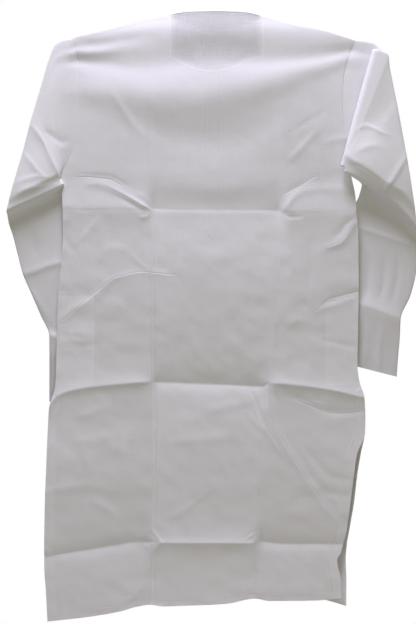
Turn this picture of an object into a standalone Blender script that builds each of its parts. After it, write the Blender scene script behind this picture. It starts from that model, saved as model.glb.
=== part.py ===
"""A kurta tunic hanging from both shoulders, hollow, with its sleeves folded down beside it.

World frame in metres: +Z up, +X to the wearer's right sleeve, +Y from the back panel to the front panel.
The origin is the middle of the straight line between the two places where the shoulders are held.
"""
import bpy
import math
import numpy as np
from mathutils import Vector
from mathutils.bvhtree import BVHTree

for old in list(bpy.data.objects):
    bpy.data.objects.remove(old, do_unlink=True)

# Driving sizes in millimetres
MM = 0.001
WALL = 1.2          # cloth with its turnings
SEAM = 0.3          # clear gap between two pieces at a seam
HALF = WALL / 2 + SEAM / 2
GAP = 0.6           # from an armhole's cut edge to the edge of its sleeve, over the turned corners
BACK_DEEP = 12.0    # how far the back panel stands out from the side seams
FRONT_DEEP = 17.0   # the same for the front panel
ARM_DEEP = 5.0      # half the depth of an armhole
SLIT_DEEP = 7.0     # how far each panel stands off the middle at the side slits
SLIT_TOP = -640.0   # height at which the side slits start
NECK_HALF = 82.8    # half the width of the neck opening
CORD = 1.5          # radius of the rolled neck binding
BUTTON_R = 5.5
BUTTON_T = 2.2

# Outlines, each row (x, z)
SHOULDERS = [(-252.0, 22.5), (-208.8, 32.4), (-163.8, 44.5), (-118.8, 55.8), (-82.8, 62.1), (-50.4, 66.6),
             (7.2, 67.5), (52.2, 65.7), (82.8, 59.4), (120.6, 49.1), (151.2, 41.4), (187.2, 35.1),
             (232.2, 21.6), (250.2, 16.2)]
ARM_LEFT = [(-252.0, 22.5), (-252.5, 7.2), (-247.2, -21.6), (-248.3, -46.8), (-247.6, -73.8), (-249.1, -140.4),
            (-253.9, -172.8), (-277.2, -230.4)]
ARM_RIGHT = [(250.2, 16.2), (242.3, 0.9), (234.9, -21.6), (228.0, -55.8), (226.8, -108.0), (230.4, -144.0),
             (235.8, -189.0), (243.0, -225.0)]
SIDE_LEFT = [(-277.2, -230.4), (-277.2, -252.0), (-275.8, -286.2), (-275.5, -334.8), (-278.6, -379.8),
             (-284.0, -441.0), (-286.2, -514.8), (-289.3, -605.0), (-299.3, -640.8), (-301.0, -655.2),
             (-304.4, -739.8), (-307.8, -841.5), (-308.7, -911.7), (-305.1, -976.5), (-302.4, -1026.9)]
SIDE_RIGHT = [(243.0, -225.0), (251.3, -270.0), (252.0, -292.5), (255.6, -318.6), (256.7, -435.6),
              (255.6, -500.4), (254.5, -567.0), (257.4, -594.0), (266.4, -624.6), (268.7, -658.1),
              (268.0, -688.3), (252.9, -727.2), (246.6, -770.4), (240.8, -815.4), (234.7, -860.4),
              (228.6, -888.3), (224.1, -903.6), (217.1, -917.1), (224.1, -952.2), (225.4, -985.0)]
FRONT_RIGHT = [(243.0, -225.0), (251.3, -270.0), (252.0, -292.5), (255.6, -318.6), (256.7, -435.6),
               (255.6, -500.4), (254.5, -567.0), (257.4, -594.0), (266.4, -624.6), (268.7, -658.1),
               (268.0, -688.3), (260.5, -727.2), (254.5, -764.1), (248.4, -815.4), (240.8, -860.4),
               (236.0, -889.0), (233.6, -917.0), (234.7, -952.0), (234.4, -1001.0)]
CREASE_1 = [(-275.8, -286.2), (-126.0, -288.0), (-119.7, -286.7), (-82.8, -288.9), (-5.4, -289.8),
            (82.8, -289.8), (122.4, -290.5), (151.2, -292.5), (252.0, -292.5)]
CREASE_2 = [(-299.3, -640.8), (-284.4, -620.5), (-218.3, -604.8), (-115.7, -596.9), (-5.4, -601.2),
            (84.6, -604.8), (96.8, -598.9), (190.6, -608.4), (266.4, -624.6)]
CREASE_3 = [(-308.7, -911.7), (-267.3, -905.4), (-238.7, -900.0), (-139.0, -885.6), (-118.8, -885.6),
            (-99.0, -883.8), (67.7, -884.3), (73.4, -882.0), (124.2, -888.3), (228.6, -888.3)]
HEM = [(-302.4, -1026.9), (-223.2, -1017.0), (-169.2, -1007.1), (-145.8, -1000.1), (-117.7, -995.4),
       (-94.3, -998.3), (-43.6, -996.7), (18.9, -993.6), (68.4, -984.5), (96.8, -988.9), (171.0, -988.9),
       (225.4, -985.0)]
# Front neckline from the left neck point to the right one, each row (share of the curve, x, z)
SCOOP = [(0.0, -82.8, 62.1), (0.3, -82.8, -14.4), (0.35, -68.4, -21.6), (0.41, -46.8, -32.4),
         (0.455, -28.8, -38.7), (0.5, -5.9, -41.4), (0.55, 16.0, -38.0), (0.59, 34.2, -32.4),
         (0.645, 57.6, -19.8), (0.7, 82.8, -14.4), (1.0, 82.8, 59.4)]
# Heights of the two long packing folds at the top edge, the three cross creases and the hem
FOLD_LEFT = (-118.8, -119.7, -115.7, -118.8, -117.7)
FOLD_RIGHT = (120.6, 122.4, 96.8, 73.4, 68.4)
FOLD_RIGHT_WAY = [(0.0, 120.6), (1.0, 122.4), (1.62, 116.5), (1.64, 108.0), (2.0, 96.8), (2.26, 84.6),
                  (2.68, 77.4), (3.0, 73.4), (4.0, 68.4)]
# How far each cross crease moves the cloth: rows (x, toward the front)
MOVE_1 = [(-300, -3.0), (-135, -4.5), (-108, 5.5), (110, 6.0), (134, -4.0), (260, -3.0)]
MOVE_2 = [(-300, -4.0), (-128, -3.5), (-100, 4.0), (84, 4.5), (110, -4.5), (270, -4.0)]
MOVE_3 = [(-310, 3.0), (-132, 4.5), (-104, -5.5), (62, -5.5), (84, 4.5), (230, 3.0)]
CREASE_WIDE = 28.0
# Placket: the strip from the neckline to its point
STRIP_LEFT, STRIP_RIGHT = -17.1, 5.4
CUT_LEFT, CUT_RIGHT = -6.9, -4.9

# Sleeve rings: rows (top x, z, y, under x, z, y, half depth, turn in degrees, bow)
SLEEVE_LEFT = [
    (-261.0, 20.0, 0, -279.6, -231.5, 0.0, 5.5, 0, 0),
    (-272.0, 18.5, 0, -280.3, -232.6, -0.5, 5.5, 0, 0),
    (-288.0, 11.0, 0, -280.7, -233.6, -1.0, 5.5, 0, 0),
    (-300.5, -18.0, -1, -281.0, -234.4, -1.5, 6.0, 0, 0),
    (-312.0, -57.6, -2, -281.3, -235.2, -2.0, 6.5, 0, -3),
    (-324.5, -100.0, -3, -281.6, -235.9, -2.6, 7.0, 0, -6),
    (-334.5, -135.0, -5, -281.9, -236.6, -3.2, 7.0, 0, -9),
    (-345.5, -179.0, -4, -282.2, -237.3, -3.8, 7.0, 0, -6),
    (-356.5, -218.0, -4, -282.5, -238.0, -4.4, 7.0, 0, -3),
    (-366.5, -254.0, -6, -282.8, -238.7, -5.2, 7.0, 0, 0),
    (-374.8, -287.0, -8, -283.1, -239.6, -6.0, 6.0, 10, 0),
    (-376.0, -292.5, -3, -282.4, -242.4, -2.0, 6.0, 60, 0),
    (-375.6, -298.0, 4, -280.4, -245.6, 4.5, 6.0, 30, 0),
    (-374.4, -310.0, 9, -268.0, -251.0, 12.0, 6.5, 0, 0),
    (-366.8, -334.0, 11, -245.0, -270.0, 17.5, 7.0, 0, 0),
    (-359.1, -363.6, 11, -222.0, -304.0, 20.0, 7.0, 0, 0),
    (-348.5, -403.2, 10, -204.0, -350.0, 21.5, 7.0, 0, 0),
    (-333.0, -439.2, 11, -191.0, -394.0, 22.5, 7.0, 0, 0),
    (-316.8, -477.0, 11, -181.0, -442.0, 23.0, 7.0, 0, 0),
    (-300.6, -515.0, 10, -170.0, -493.0, 23.5, 7.0, 0, 0),
    (-300.4, -545.0, 10, -169.2, -534.0, 23.5, 7.0, 0, 0),
    (-300.8, -590.0, 11, -169.2, -585.0, 23.5, 7.0, 0, 0),
    (-301.0, -633.6, 11, -169.2, -633.6, 23.5, 6.5, 0, 0),
]
SLEEVE_RIGHT = [
    (259.0, 16.5, 0, 246.0, -223.8, 0.0, 4.5, 0, 0),
    (270.0, 15.0, 0, 251.0, -221.5, 0.0, 3.4, 0, 0),
    (283.0, 12.0, 0, 256.5, -219.5, 0.0, 2.4, 0, 0),
    (295.0, 6.0, -1.8, 262.2, -218.5, -1.8, 2.3, -45, 0),
    (297.0, 4.0, -6, 264.0, -218.0, -6, 2.3, -90, 0),
    (295.0, 2.0, -10.2, 262.2, -217.6, -10.2, 2.3, -135, 0),
    (291.0, 0.5, -12, 257.0, -216.8, -12, 2.3, -180, 0),
    (287.5, -1.0, -12, 233.0, -212.8, -12, 2.2, -180, 0),
    (283.3, -2.0, -13.6, 226.0, -211.8, -13.6, 2.2, -135, 0),
    (281.5, -3.0, -17.5, 223.8, -211.4, -17.5, 2.2, -90, 0),
    (283.3, -4.0, -21.4, 225.6, -211.8, -21.4, 2.4, -45, 0),
    (288.0, -5.0, -23, 229.0, -212.8, -23, 2.6, 0, 0),
    (297.0, -7.5, -23, 229.4, -213.6, -23, 3.0, 0, 0),
    (306.5, -14.0, -23, 229.7, -214.4, -23.2, 3.3, 0, 0),
    (309.0, -34.0, -22, 230.0, -215.2, -23.3, 3.5, 0, 0),
    (314.5, -62.0, -20.5, 230.2, -216.0, -23.4, 3.7, 0, 0),
    (322.5, -101.0, -19, 230.2, -216.8, -23.5, 3.9, 0, 0),
    (331.0, -146.0, -17, 230.2, -217.6, -23.5, 4.5, 0, 0),
    (341.5, -205.0, -16, 229.8, -218.4, -23.4, 5.0, 0, 2),
    (352.0, -270.0, -14, 229.2, -219.4, -23.2, 5.5, 0, -6),
    (360.0, -316.0, -12, 228.6, -220.6, -22.2, 5.0, 15, -12),
    (361.5, -323.0, -8, 241.0, -226.5, -15.0, 4.5, 50, -10),
    (362.6, -329.0, -2, 257.0, -234.5, -6.0, 4.5, 70, -7),
    (363.6, -335.0, 5, 263.5, -243.0, 4.0, 5.0, 30, -4),
    (364.4, -344.0, 10, 259.0, -263.0, 11.5, 6.0, 0, 0),
    (364.8, -358.0, 11, 238.0, -296.0, 15.5, 6.5, 0, 0),
    (361.5, -399.6, 11, 211.0, -345.0, 20.0, 7.0, 0, 0),
    (351.5, -441.0, 10, 197.0, -392.0, 21.5, 7.0, 0, 0),
    (333.0, -484.2, 9, 189.0, -428.0, 22.5, 7.0, 0, 0),
    (331.8, -518.4, 10, 186.0, -470.0, 23.0, 7.0, 0, 0),
    (328.9, -554.4, 11, 186.0, -514.0, 23.0, 7.0, 0, 0),
    (326.6, -588.6, 11, 188.0, -553.0, 23.0, 6.5, 0, 0),
]

SIDE_L = np.array(ARM_LEFT + SIDE_LEFT[1:])
SIDE_R = np.array(ARM_RIGHT + SIDE_RIGHT[1:])
SIDE_RF = np.array(ARM_RIGHT + FRONT_RIGHT[1:])


def read(rows, t, key=0, column=1):
    """One column of a short table at t, straight between its rows."""
    a = np.asarray(rows, float)
    order = np.argsort(a[:, key], kind="stable")
    return np.interp(t, a[order, key], a[order, column])


def near(d, wide):
    return np.exp(-np.abs(d) / wide)


def ease(t):
    t = np.clip(t, 0.0, 1.0)
    return t * t * (3 - 2 * t)


def arm_half(z, arm):
    """Half the depth of the open armhole at a height."""
    t = np.clip((arm[0][1] - z) / (arm[0][1] - arm[-1][1]), 0.0, 1.0)
    return ARM_DEEP * np.sin(np.pi * t) ** 0.8


def middle(x, z):
    """The sway that back and front share: cross creases and the two long folds."""
    y = read(MOVE_1, x) * near(z - read(CREASE_1, x), CREASE_WIDE)
    y = y + read(MOVE_2, x) * near(z - read(CREASE_2, x), CREASE_WIDE)
    y = y + read(MOVE_3, x) * near(z - read(CREASE_3, x), CREASE_WIDE)
    level = np.interp(-z, (-60, 290, 600, 885, 990), (0, 1, 2, 3, 4))
    fold = near(x + 118.5, 14.0) + near(x - read(FOLD_RIGHT_WAY, level), 14.0)
    return y - 1.2 * ease(level / 0.5) * fold


def swell(x, z):
    """Share of a panel's full depth: none at the side seams and the shoulders, all in the middle."""
    left, right = read(SIDE_L, z, 1, 0), read(SIDE_RF, z, 1, 0)
    s = np.clip((2 * x - left - right) / (right - left), -1.0, 1.0)
    edge_l = arm_half(z, ARM_LEFT) + SLIT_DEEP * ease((SLIT_TOP - z) / 120)
    edge_r = arm_half(z, ARM_RIGHT) + SLIT_DEEP * ease((SLIT_TOP - z) / 120)
    edge = edge_l + (edge_r - edge_l) * (s + 1) / 2
    drop = np.maximum(read(SHOULDERS, x) - z, 0.0)
    roof = 1 - np.exp(-drop / 42.0)
    return edge, 1 - np.abs(s) ** 2.6, roof


def back_y(x, z):
    edge, full, roof = swell(x, z)
    deep = np.interp(-z, (-60, 60, 290, 420, 600, 750, 885, 1000), (9, 13, 9.5, 14, 10.5, 14, 11, 13))
    deep = deep * BACK_DEEP / 12.0
    inside = np.clip(1 - (x / NECK_HALF) ** 2, 0.0, 1.0) ** 0.7
    roof = np.maximum(roof, 0.55 * inside)
    armed = edge * np.where(roof < 1, np.minimum(1, roof * 1.0), 1.0)
    return middle(x, z) - HALF - armed - roof * np.maximum(deep - edge, 0) * full


def front_y(x, z):
    edge, full, roof = swell(x, z)
    deep = np.interp(-z, (-60, 60, 290, 420, 600, 750, 885, 1000), (12, 17, 14, 18, 15, 19, 16, 18))
    deep = deep * FRONT_DEEP / 17.0
    return middle(x, z) + HALF + edge * roof + roof * np.maximum(deep - edge, 0) * full


def patchwork(rows, columns, us, vs):
    """Blend a net of row curves and column curves into a grid of (x, z), whole numbers being the curves."""
    grid = np.zeros((len(vs), len(us), 2))

    def point(table, t):
        a = np.asarray(table, float)
        return np.array([np.interp(t, a[:, 0], a[:, 1]), np.interp(t, a[:, 0], a[:, 2])])

    for j, v in enumerate(vs):
        b = min(int(v), len(rows) - 2)
        q = v - b
        for i, u in enumerate(us):
            a = min(int(u), len(columns) - 2)
            p = u - a
            low, high = point(rows[b], u), point(rows[b + 1], u)
            left, right = point(columns[a], v), point(columns[a + 1], v)
            c = [point(rows[b + n], a + m) for n in (0, 1) for m in (0, 1)]
            flat = (1 - q) * ((1 - p) * c[0] + p * c[1]) + q * ((1 - p) * c[2] + p * c[3])
            grid[j, i] = (1 - q) * low + q * high + (1 - p) * left + p * right - flat
    return grid


def row_by_x(curve, stops):
    """A row curve (x, z) marked with u, which counts the stops along x."""
    a = np.array(curve, float)
    a[0, 0], a[-1, 0] = stops[0], stops[-1]
    xs = sorted(set(a[:, 0]) | set(stops))
    return [(np.interp(x, stops, range(len(stops))), x, np.interp(x, a[:, 0], a[:, 1])) for x in xs]


def side_column(arm, side, levels):
    """A side edge marked with v: the armhole, the side seam to the first crease, then crease by crease."""
    a = np.array(list(arm) + list(side[1:]), float)
    heights = [-levels[0], -arm[-1][1]] + [-h for h in levels[1:]]
    marks = [0, UNDERARM] + list(range(1, len(levels)))
    return [(np.interp(-z, heights, marks), x, z) for x, z in a]


def straight_column(rows, u):
    a = [np.asarray(r, float) for r in rows]
    return [(v, np.interp(u, r[:, 0], r[:, 1]), np.interp(u, r[:, 0], r[:, 2])) for v, r in enumerate(a)]


# Objects and materials
garment = bpy.data.collections.new("kurta_tunic")
bpy.context.scene.collection.children.link(garment)


def cloth(name, colour, rough):
    m = bpy.data.materials.new(name)
    m.use_nodes = True
    shader = m.node_tree.nodes["Principled BSDF"]
    shader.inputs["Base Color"].default_value = (*colour, 1)
    shader.inputs["Roughness"].default_value = rough
    return m


def piece(name, points, faces, colour=(0.80, 0.79, 0.80), rough=0.9, wall=WALL):
    """One named sheet: an open surface in millimetres, given its thickness."""
    mesh = bpy.data.meshes.new(name)
    mesh.from_pydata([tuple(float(c) * MM for c in p) for p in points], [], faces)
    mesh.update()
    for polygon in mesh.polygons:
        polygon.use_smooth = True
    thing = bpy.data.objects.new(name, mesh)
    garment.objects.link(thing)
    mesh.materials.append(cloth(name, colour, rough))
    solid = thing.modifiers.new("wall", "SOLIDIFY")
    solid.thickness = wall * MM
    solid.offset = 0.0
    solid.use_even_offset = False
    return thing


def lattice(rows, columns, skip=lambda j, i: False):
    """Quads of a grid, leaving out those that skip names, with unused points dropped."""
    faces = []
    for j in range(rows - 1):
        for i in range(columns - 1):
            if not skip(j, i):
                a = j * columns + i
                faces.append((a, a + columns, a + columns + 1, a + 1))
    return faces


def used(points, faces):
    keep = sorted({k for f in faces for k in f})
    new = {k: n for n, k in enumerate(keep)}
    return [points[k] for k in keep], [tuple(new[k] for k in f) for f in faces]


def sheet_normals(grid):
    """Unit normals of a grid of points (rows, columns, 3), pointing to the front."""
    down, across = np.gradient(grid, axis=0), np.gradient(grid, axis=1)
    n = np.cross(down, across)
    n = n / np.maximum(np.linalg.norm(n, axis=2, keepdims=True), 1e-9)
    return n * np.sign(n[..., 1:2] + 1e-12)


# Back panel, from the shoulder seams to the hem
UNDERARM = 0.8
arm_vs = [0, 0.05, 0.13, 0.23, 0.34, 0.46, 0.58, 0.69, 0.76, UNDERARM]
back_vs = arm_vs + [0.88, 0.95, 1, 1.06, 1.15, 1.28, 1.42, 1.57, 1.72, 1.85,
           1.94, 2, 2.05, 2.13, 2.25, 2.4, 2.55, 2.7, 2.84, 2.94, 3, 3.12, 3.3, 3.55, 3.8, 4]
back_us = [0, 0.1, 0.25, 0.42, 0.6, 0.78, 0.92, 1, 1.05, 1.14, 1.26, 1.38, 1.5, 1.62, 1.74, 1.86, 1.95, 2, 2.08,
           2.22, 2.4, 2.58, 2.75, 2.9, 3]
b_rows = []
for curve, fl, fr in zip((SHOULDERS, CREASE_1, CREASE_2, CREASE_3, HEM), FOLD_LEFT, FOLD_RIGHT):
    b_rows.append(row_by_x(curve, [curve[0][0], fl, fr, curve[-1][0]]))
b_columns = [
    side_column(ARM_LEFT, SIDE_LEFT, [r[0][2] for r in b_rows]),
    straight_column(b_rows, 1),
    straight_column(b_rows, 2),
    side_column(ARM_RIGHT, SIDE_RIGHT, [r[-1][2] for r in b_rows]),
]
flat = patchwork(b_rows, b_columns, back_us, back_vs)
depth = back_y(flat[..., 0], flat[..., 1])
back_grid = np.stack([flat[..., 0], depth, flat[..., 1]], -1)
piece("back_panel", back_grid.reshape(-1, 3), lattice(len(back_vs), len(back_us)))

# Front panel, with the scooped neck and the cut under the placket
CUT_END = 0.58
CORNER, TIP = 1.116, 1.157
front_vs = arm_vs + [0.88, 0.95, 1, 1.05, CORNER, TIP, 1.28, 1.42, 1.48,
            1.6, 1.72, 1.85, 1.94, 2, 2.05, 2.14, 2.28, 2.45, 2.62, 2.78, 2.92, 3, 3.1, 3.3, 3.6, 4]
front_us = [0, 0.1, 0.25, 0.41, 0.6, 0.8, 1, 1.2, 1.36, 1.52, 1.68, 1.84, 2, 2.219, 2.548, 2.822, 3, 4, 5, 6, 6.137,
            6.372, 6.674, 7, 7.16, 7.32, 7.48, 7.64, 7.8, 8, 8.2, 8.4, 8.59, 8.75, 8.9, 9]
FRONT_HEM = [(x, z if x < 200 else z - 0.6 * (x - 200)) for x, z in HEM[:-1]] + [(234.4, -1001.0)]
neck_in = (-82.8, -88.0, -76.0, -66.0, -60.0)
neck_out = (82.8, 88.0, 66.0, 50.0, 46.0)
f_rows = []
scoop = np.array(SCOOP)


def neckline(t):
    return np.array([np.interp(t, scoop[:, 0], scoop[:, 1]), np.interp(t, scoop[:, 0], scoop[:, 2])])


def arc_z(x):
    return float(np.interp(x, scoop[1:-1, 1], scoop[1:-1, 2]))


top = []
for x, z in SHOULDERS:
    if x <= -118.8:
        top.append((np.interp(x, (-252.0, -118.8), (0, 1)), x, z))
top += [(1.2, -82.8, 62.1), (2, -82.8, -14.4)]
top += [(2 + (x + 82.8) / (STRIP_LEFT + 82.8), x, arc_z(x)) for x in (-68.4, -46.8, -28.8)]
top += [(n, x, arc_z(x)) for n, x in ((3, STRIP_LEFT), (4, CUT_LEFT), (5, CUT_RIGHT), (6, STRIP_RIGHT))]
top += [(6 + (x - STRIP_RIGHT) / (82.8 - STRIP_RIGHT), x, arc_z(x)) for x in (16.0, 34.2, 57.6)]
top += [(7, 82.8, -14.4), (7.8, 82.8, 59.4)]
for x, z in SHOULDERS:
    if x >= 120.6:
        top.append((np.interp(x, (120.6, 250.2), (8, 9)), x, z))
f_rows.append(top)
for n, curve in enumerate((CREASE_1, CREASE_2, CREASE_3, FRONT_HEM), start=1):
    right = {3: 236.0}.get(n, curve[-1][0])
    stops = [curve[0][0], FOLD_LEFT[n], neck_in[n], STRIP_LEFT, CUT_LEFT, CUT_RIGHT, STRIP_RIGHT, neck_out[n],
             FOLD_RIGHT[n], right]
    f_rows.append(row_by_x(curve, stops))
f_columns = [side_column(ARM_LEFT, SIDE_LEFT, [r[0][2] for r in f_rows])]
f_columns += [straight_column(f_rows, n) for n in range(1, 9)]
f_columns += [side_column(ARM_RIGHT, FRONT_RIGHT, [r[-1][2] for r in f_rows])]
flat = patchwork(f_rows, f_columns, front_us, front_vs)
depth = front_y(flat[..., 0], flat[..., 1])
front_grid = np.stack([flat[..., 0], depth, flat[..., 1]], -1)
cut_i = front_us.index(4)
cut_j = front_vs.index(CUT_END)
points, faces = used(front_grid.reshape(-1, 3),
                     lattice(len(front_vs), len(front_us), lambda j, i: i == cut_i and j < cut_j))
piece("front_panel", points, faces)

# Placket strips, made from the front panel's own points moved out and in
normal = sheet_normals(front_grid)
i0, i1 = front_us.index(3), front_us.index(6)


def strip(name, shift, j_end, pointed):
    rows = front_grid[: j_end + 1, i0: i1 + 1] + shift * normal[: j_end + 1, i0: i1 + 1]
    pts = list(rows.reshape(-1, 3))
    width = i1 - i0 + 1
    quads = lattice(j_end + 1, width)
    if pointed:
        tips = [front_grid[j_end + 1, i] + shift * normal[j_end + 1, i] for i in (i0 + 1, i0 + 2)]
        n = len(pts)
        pts += tips
        last = j_end * width
        quads += [(last, n, last + 1), (last + 1, n, n + 1, last + 2), (last + 2, n + 1, last + 3)]
    return piece(name, pts, quads, colour=(0.78, 0.77, 0.79))


upper = strip("placket_upper", WALL + SEAM, front_vs.index(CORNER), True)
strip("placket_under", -(WALL + SEAM), front_vs.index(CUT_END) + 1, False)

# Pocket bags on the inside of the front panel, one at each side seam
for name, first, last in (("pocket_bag_left", 0.1, 0.41), ("pocket_bag_right", 8.59, 8.9)):
    a, b = front_us.index(first), front_us.index(last)
    j0, j1 = front_vs.index(1.48), front_vs.index(2.05)
    bag = front_grid[j0: j1 + 1, a: b + 1] - (WALL + SEAM) * normal[j0: j1 + 1, a: b + 1]
    piece(name, bag.reshape(-1, 3), lattice(j1 - j0 + 1, b - a + 1), colour=(0.76, 0.75, 0.77))

# Buttons down the placket
outer = BVHTree.FromPolygons(
    [Vector(p) for p in (front_grid + (WALL + SEAM) * normal).reshape(-1, 3)],
    lattice(len(front_vs), len(front_us)),
)
for n, z in enumerate((-72.0, -140.0, -208.0, -262.0), start=1):
    at, facing, _, _ = outer.ray_cast(Vector(((STRIP_LEFT + STRIP_RIGHT) / 2, 80.0, z)), Vector((0, -1, 0)))
    facing = facing if facing.y > 0 else -facing
    bpy.ops.mesh.primitive_cylinder_add(vertices=20, radius=BUTTON_R * MM, depth=BUTTON_T * MM)
    button = bpy.context.object
    button.name = "button_%d" % n
    for home in list(button.users_collection):
        home.objects.unlink(button)
    garment.objects.link(button)
    button.data.materials.append(cloth("button_%d" % n, (0.85, 0.84, 0.82), 0.35))
    rim = button.modifiers.new("edge", "BEVEL")
    rim.width = 0.5 * MM
    rim.segments = 1
    rim.limit_method = "ANGLE"
    button.rotation_mode = "QUATERNION"
    button.rotation_quaternion = facing.to_track_quat("Z", "Y")
    button.location = (at + facing * (WALL / 2 + SEAM + BUTTON_T / 2)) * MM

# Rolled binding round the neck opening, just outside the cut edges
lift = CORD + SEAM + 0.2
ring = []
for x in np.linspace(-75.0, 75.0, 19):
    z = float(read(SHOULDERS, x))
    ring.append((x, float(back_y(x, z)), z + lift))
ring += [(79.5, -0.2, 63.8), (80.6, 1.8, 58.5)]
for t in np.linspace(0.97, 0.03, 41):
    x, z = neckline(t)
    ahead, behind = neckline(t + 0.01), neckline(t - 0.01)
    way = ahead - behind
    inward = np.array([-way[1], way[0]]) / np.linalg.norm(way)
    ring.append((x + inward[0] * lift, float(front_y(x, z)), z + inward[1] * lift))
ring += [(-80.6, 1.8, 61.0), (-79.5, -0.2, 66.3)]
curve = bpy.data.curves.new("neck_binding", "CURVE")
curve.dimensions = "3D"
curve.bevel_depth = CORD * MM
curve.bevel_resolution = 2
line = curve.splines.new("POLY")
line.points.add(len(ring) - 1)
for point, (x, y, z) in zip(line.points, ring):
    point.co = (x * MM, y * MM, z * MM, 1)
line.use_cyclic_u = True
binding = bpy.data.objects.new("neck_binding", curve)
garment.objects.link(binding)
curve.materials.append(cloth("neck_binding", (0.82, 0.81, 0.83), 0.85))


# Sleeves: one open tube each, ring by ring from the armhole to the cuff
def sleeve(name, table, arm, level, side):
    """Loft the rings of one sleeve; side is -1 for the left and +1 for the right."""
    column = np.array(side_column(arm, [arm[-1], level], [arm[0][1], level[1]]))
    seam = [(np.interp(v, column[:, 0], column[:, 1]), np.interp(v, column[:, 0], column[:, 2])) for v in arm_vs]
    run = np.concatenate([[0], np.cumsum(np.linalg.norm(np.diff(np.array(seam), axis=0), axis=1))])
    shares = run / run[-1]
    rings = []
    slope = np.gradient(np.array(seam), axis=0)
    slope = slope / np.linalg.norm(slope, axis=1, keepdims=True)
    first = []
    for (x, z), (dx, dz) in zip(seam, slope):
        y0, y1 = float(back_y(x, z)), float(front_y(x, z))
        first.append((x + side * abs(dz) * GAP, z - side * dx * np.sign(dz) * GAP, y0, y1))
    top, under = arm[0], arm[-1]
    loop = [(top[0] + side * GAP, float(middle(*top)), top[1] + 0.8)]
    loop += [(x, b, z) for x, z, b, f in first]
    loop += [(under[0] + side * GAP, float(middle(*under)), under[1] - 0.8)]
    loop += [(x, f, z) for x, z, b, f in reversed(first)]
    rings.append(loop)
    for tx, tz, ty, ux, uz, uy, deep, turn, bow in table:
        t, u = np.array([tx, ty, tz], float), np.array([ux, uy, uz], float)
        along = u - t
        length = np.linalg.norm(along)
        along = along / length
        out = side * np.cross(along, (0, 1, 0))
        out = out / np.linalg.norm(out)
        back = -np.array([0, 1.0, 0])
        back = back - along * np.dot(back, along)
        back = back / np.linalg.norm(back)
        a = math.radians(turn)
        facing = back * math.cos(a) + out * math.sin(a)
        r = min(1.8, deep)
        loop = [t]
        body = []
        for s in shares:
            h = r + (deep - r) * math.sin(math.pi * s) ** 0.8
            core = t + along * (r + s * (length - 2 * r)) + out * bow * math.sin(math.pi * s)
            body.append((core, h))
        loop += [c + facing * h for c, h in body]
        loop += [u]
        loop += [c - facing * h for c, h in reversed(body)]
        rings.append(loop)
    n = len(rings[0])
    pts = [p for r in rings for p in r]
    quads = []
    for j in range(len(rings) - 1):
        for i in range(n):
            k = (i + 1) % n
            quads.append((j * n + i, j * n + k, (j + 1) * n + k, (j + 1) * n + i))
    return piece(name, pts, quads)


sleeve("sleeve_left", SLEEVE_LEFT, ARM_LEFT, CREASE_1[0], -1)
sleeve("sleeve_right", SLEEVE_RIGHT, ARM_RIGHT, CREASE_1[-1], 1)
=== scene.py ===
"""A thin white cotton kurta tunic, held up by both shoulders, its long sleeves folded down beside it.

World frame in metres: +Z up, +X to the wearer's right sleeve, +Y from the back panel to the front panel.
Tables below are in millimetres, (x, z) as seen from the back panel's side.
"""
import math

import bpy
import numpy as np
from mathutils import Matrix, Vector
from mathutils.geometry import delaunay_2d_cdt


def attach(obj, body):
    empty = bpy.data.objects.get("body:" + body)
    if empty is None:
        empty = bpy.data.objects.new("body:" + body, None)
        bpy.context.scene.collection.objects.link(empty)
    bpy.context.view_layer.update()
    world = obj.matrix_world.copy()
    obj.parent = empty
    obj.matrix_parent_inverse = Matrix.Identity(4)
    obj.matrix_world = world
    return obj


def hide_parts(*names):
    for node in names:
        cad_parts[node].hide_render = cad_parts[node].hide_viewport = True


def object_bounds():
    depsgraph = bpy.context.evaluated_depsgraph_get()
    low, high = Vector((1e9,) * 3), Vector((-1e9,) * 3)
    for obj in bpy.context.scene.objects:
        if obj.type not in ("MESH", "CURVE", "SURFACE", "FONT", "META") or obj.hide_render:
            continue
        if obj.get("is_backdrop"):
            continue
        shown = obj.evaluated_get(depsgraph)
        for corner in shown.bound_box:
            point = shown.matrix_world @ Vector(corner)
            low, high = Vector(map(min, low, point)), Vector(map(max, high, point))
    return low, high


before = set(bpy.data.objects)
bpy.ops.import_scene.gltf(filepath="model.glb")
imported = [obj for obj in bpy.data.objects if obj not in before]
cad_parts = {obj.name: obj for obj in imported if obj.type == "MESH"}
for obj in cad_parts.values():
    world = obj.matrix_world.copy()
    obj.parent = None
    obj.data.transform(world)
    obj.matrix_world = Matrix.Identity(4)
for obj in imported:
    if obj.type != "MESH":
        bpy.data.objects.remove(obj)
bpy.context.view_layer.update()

# Camera: straight on to the back panel, the long side of its sensor upright
def put(name, data):
    """A named object in the scene, made from its data."""
    thing = bpy.data.objects.new(name, data)
    bpy.context.scene.collection.objects.link(thing)
    return thing


camera = put("camera", bpy.data.cameras.new("camera"))
camera.data.sensor_width = 36.0
camera.data.lens = 70.5
camera.location = (-0.0144, -2.2, -0.4716)
camera.rotation_euler = (math.radians(90), 0, 0)
camera.data.clip_start, camera.data.clip_end = 0.05, 60.0
bpy.context.scene.camera = camera

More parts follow.
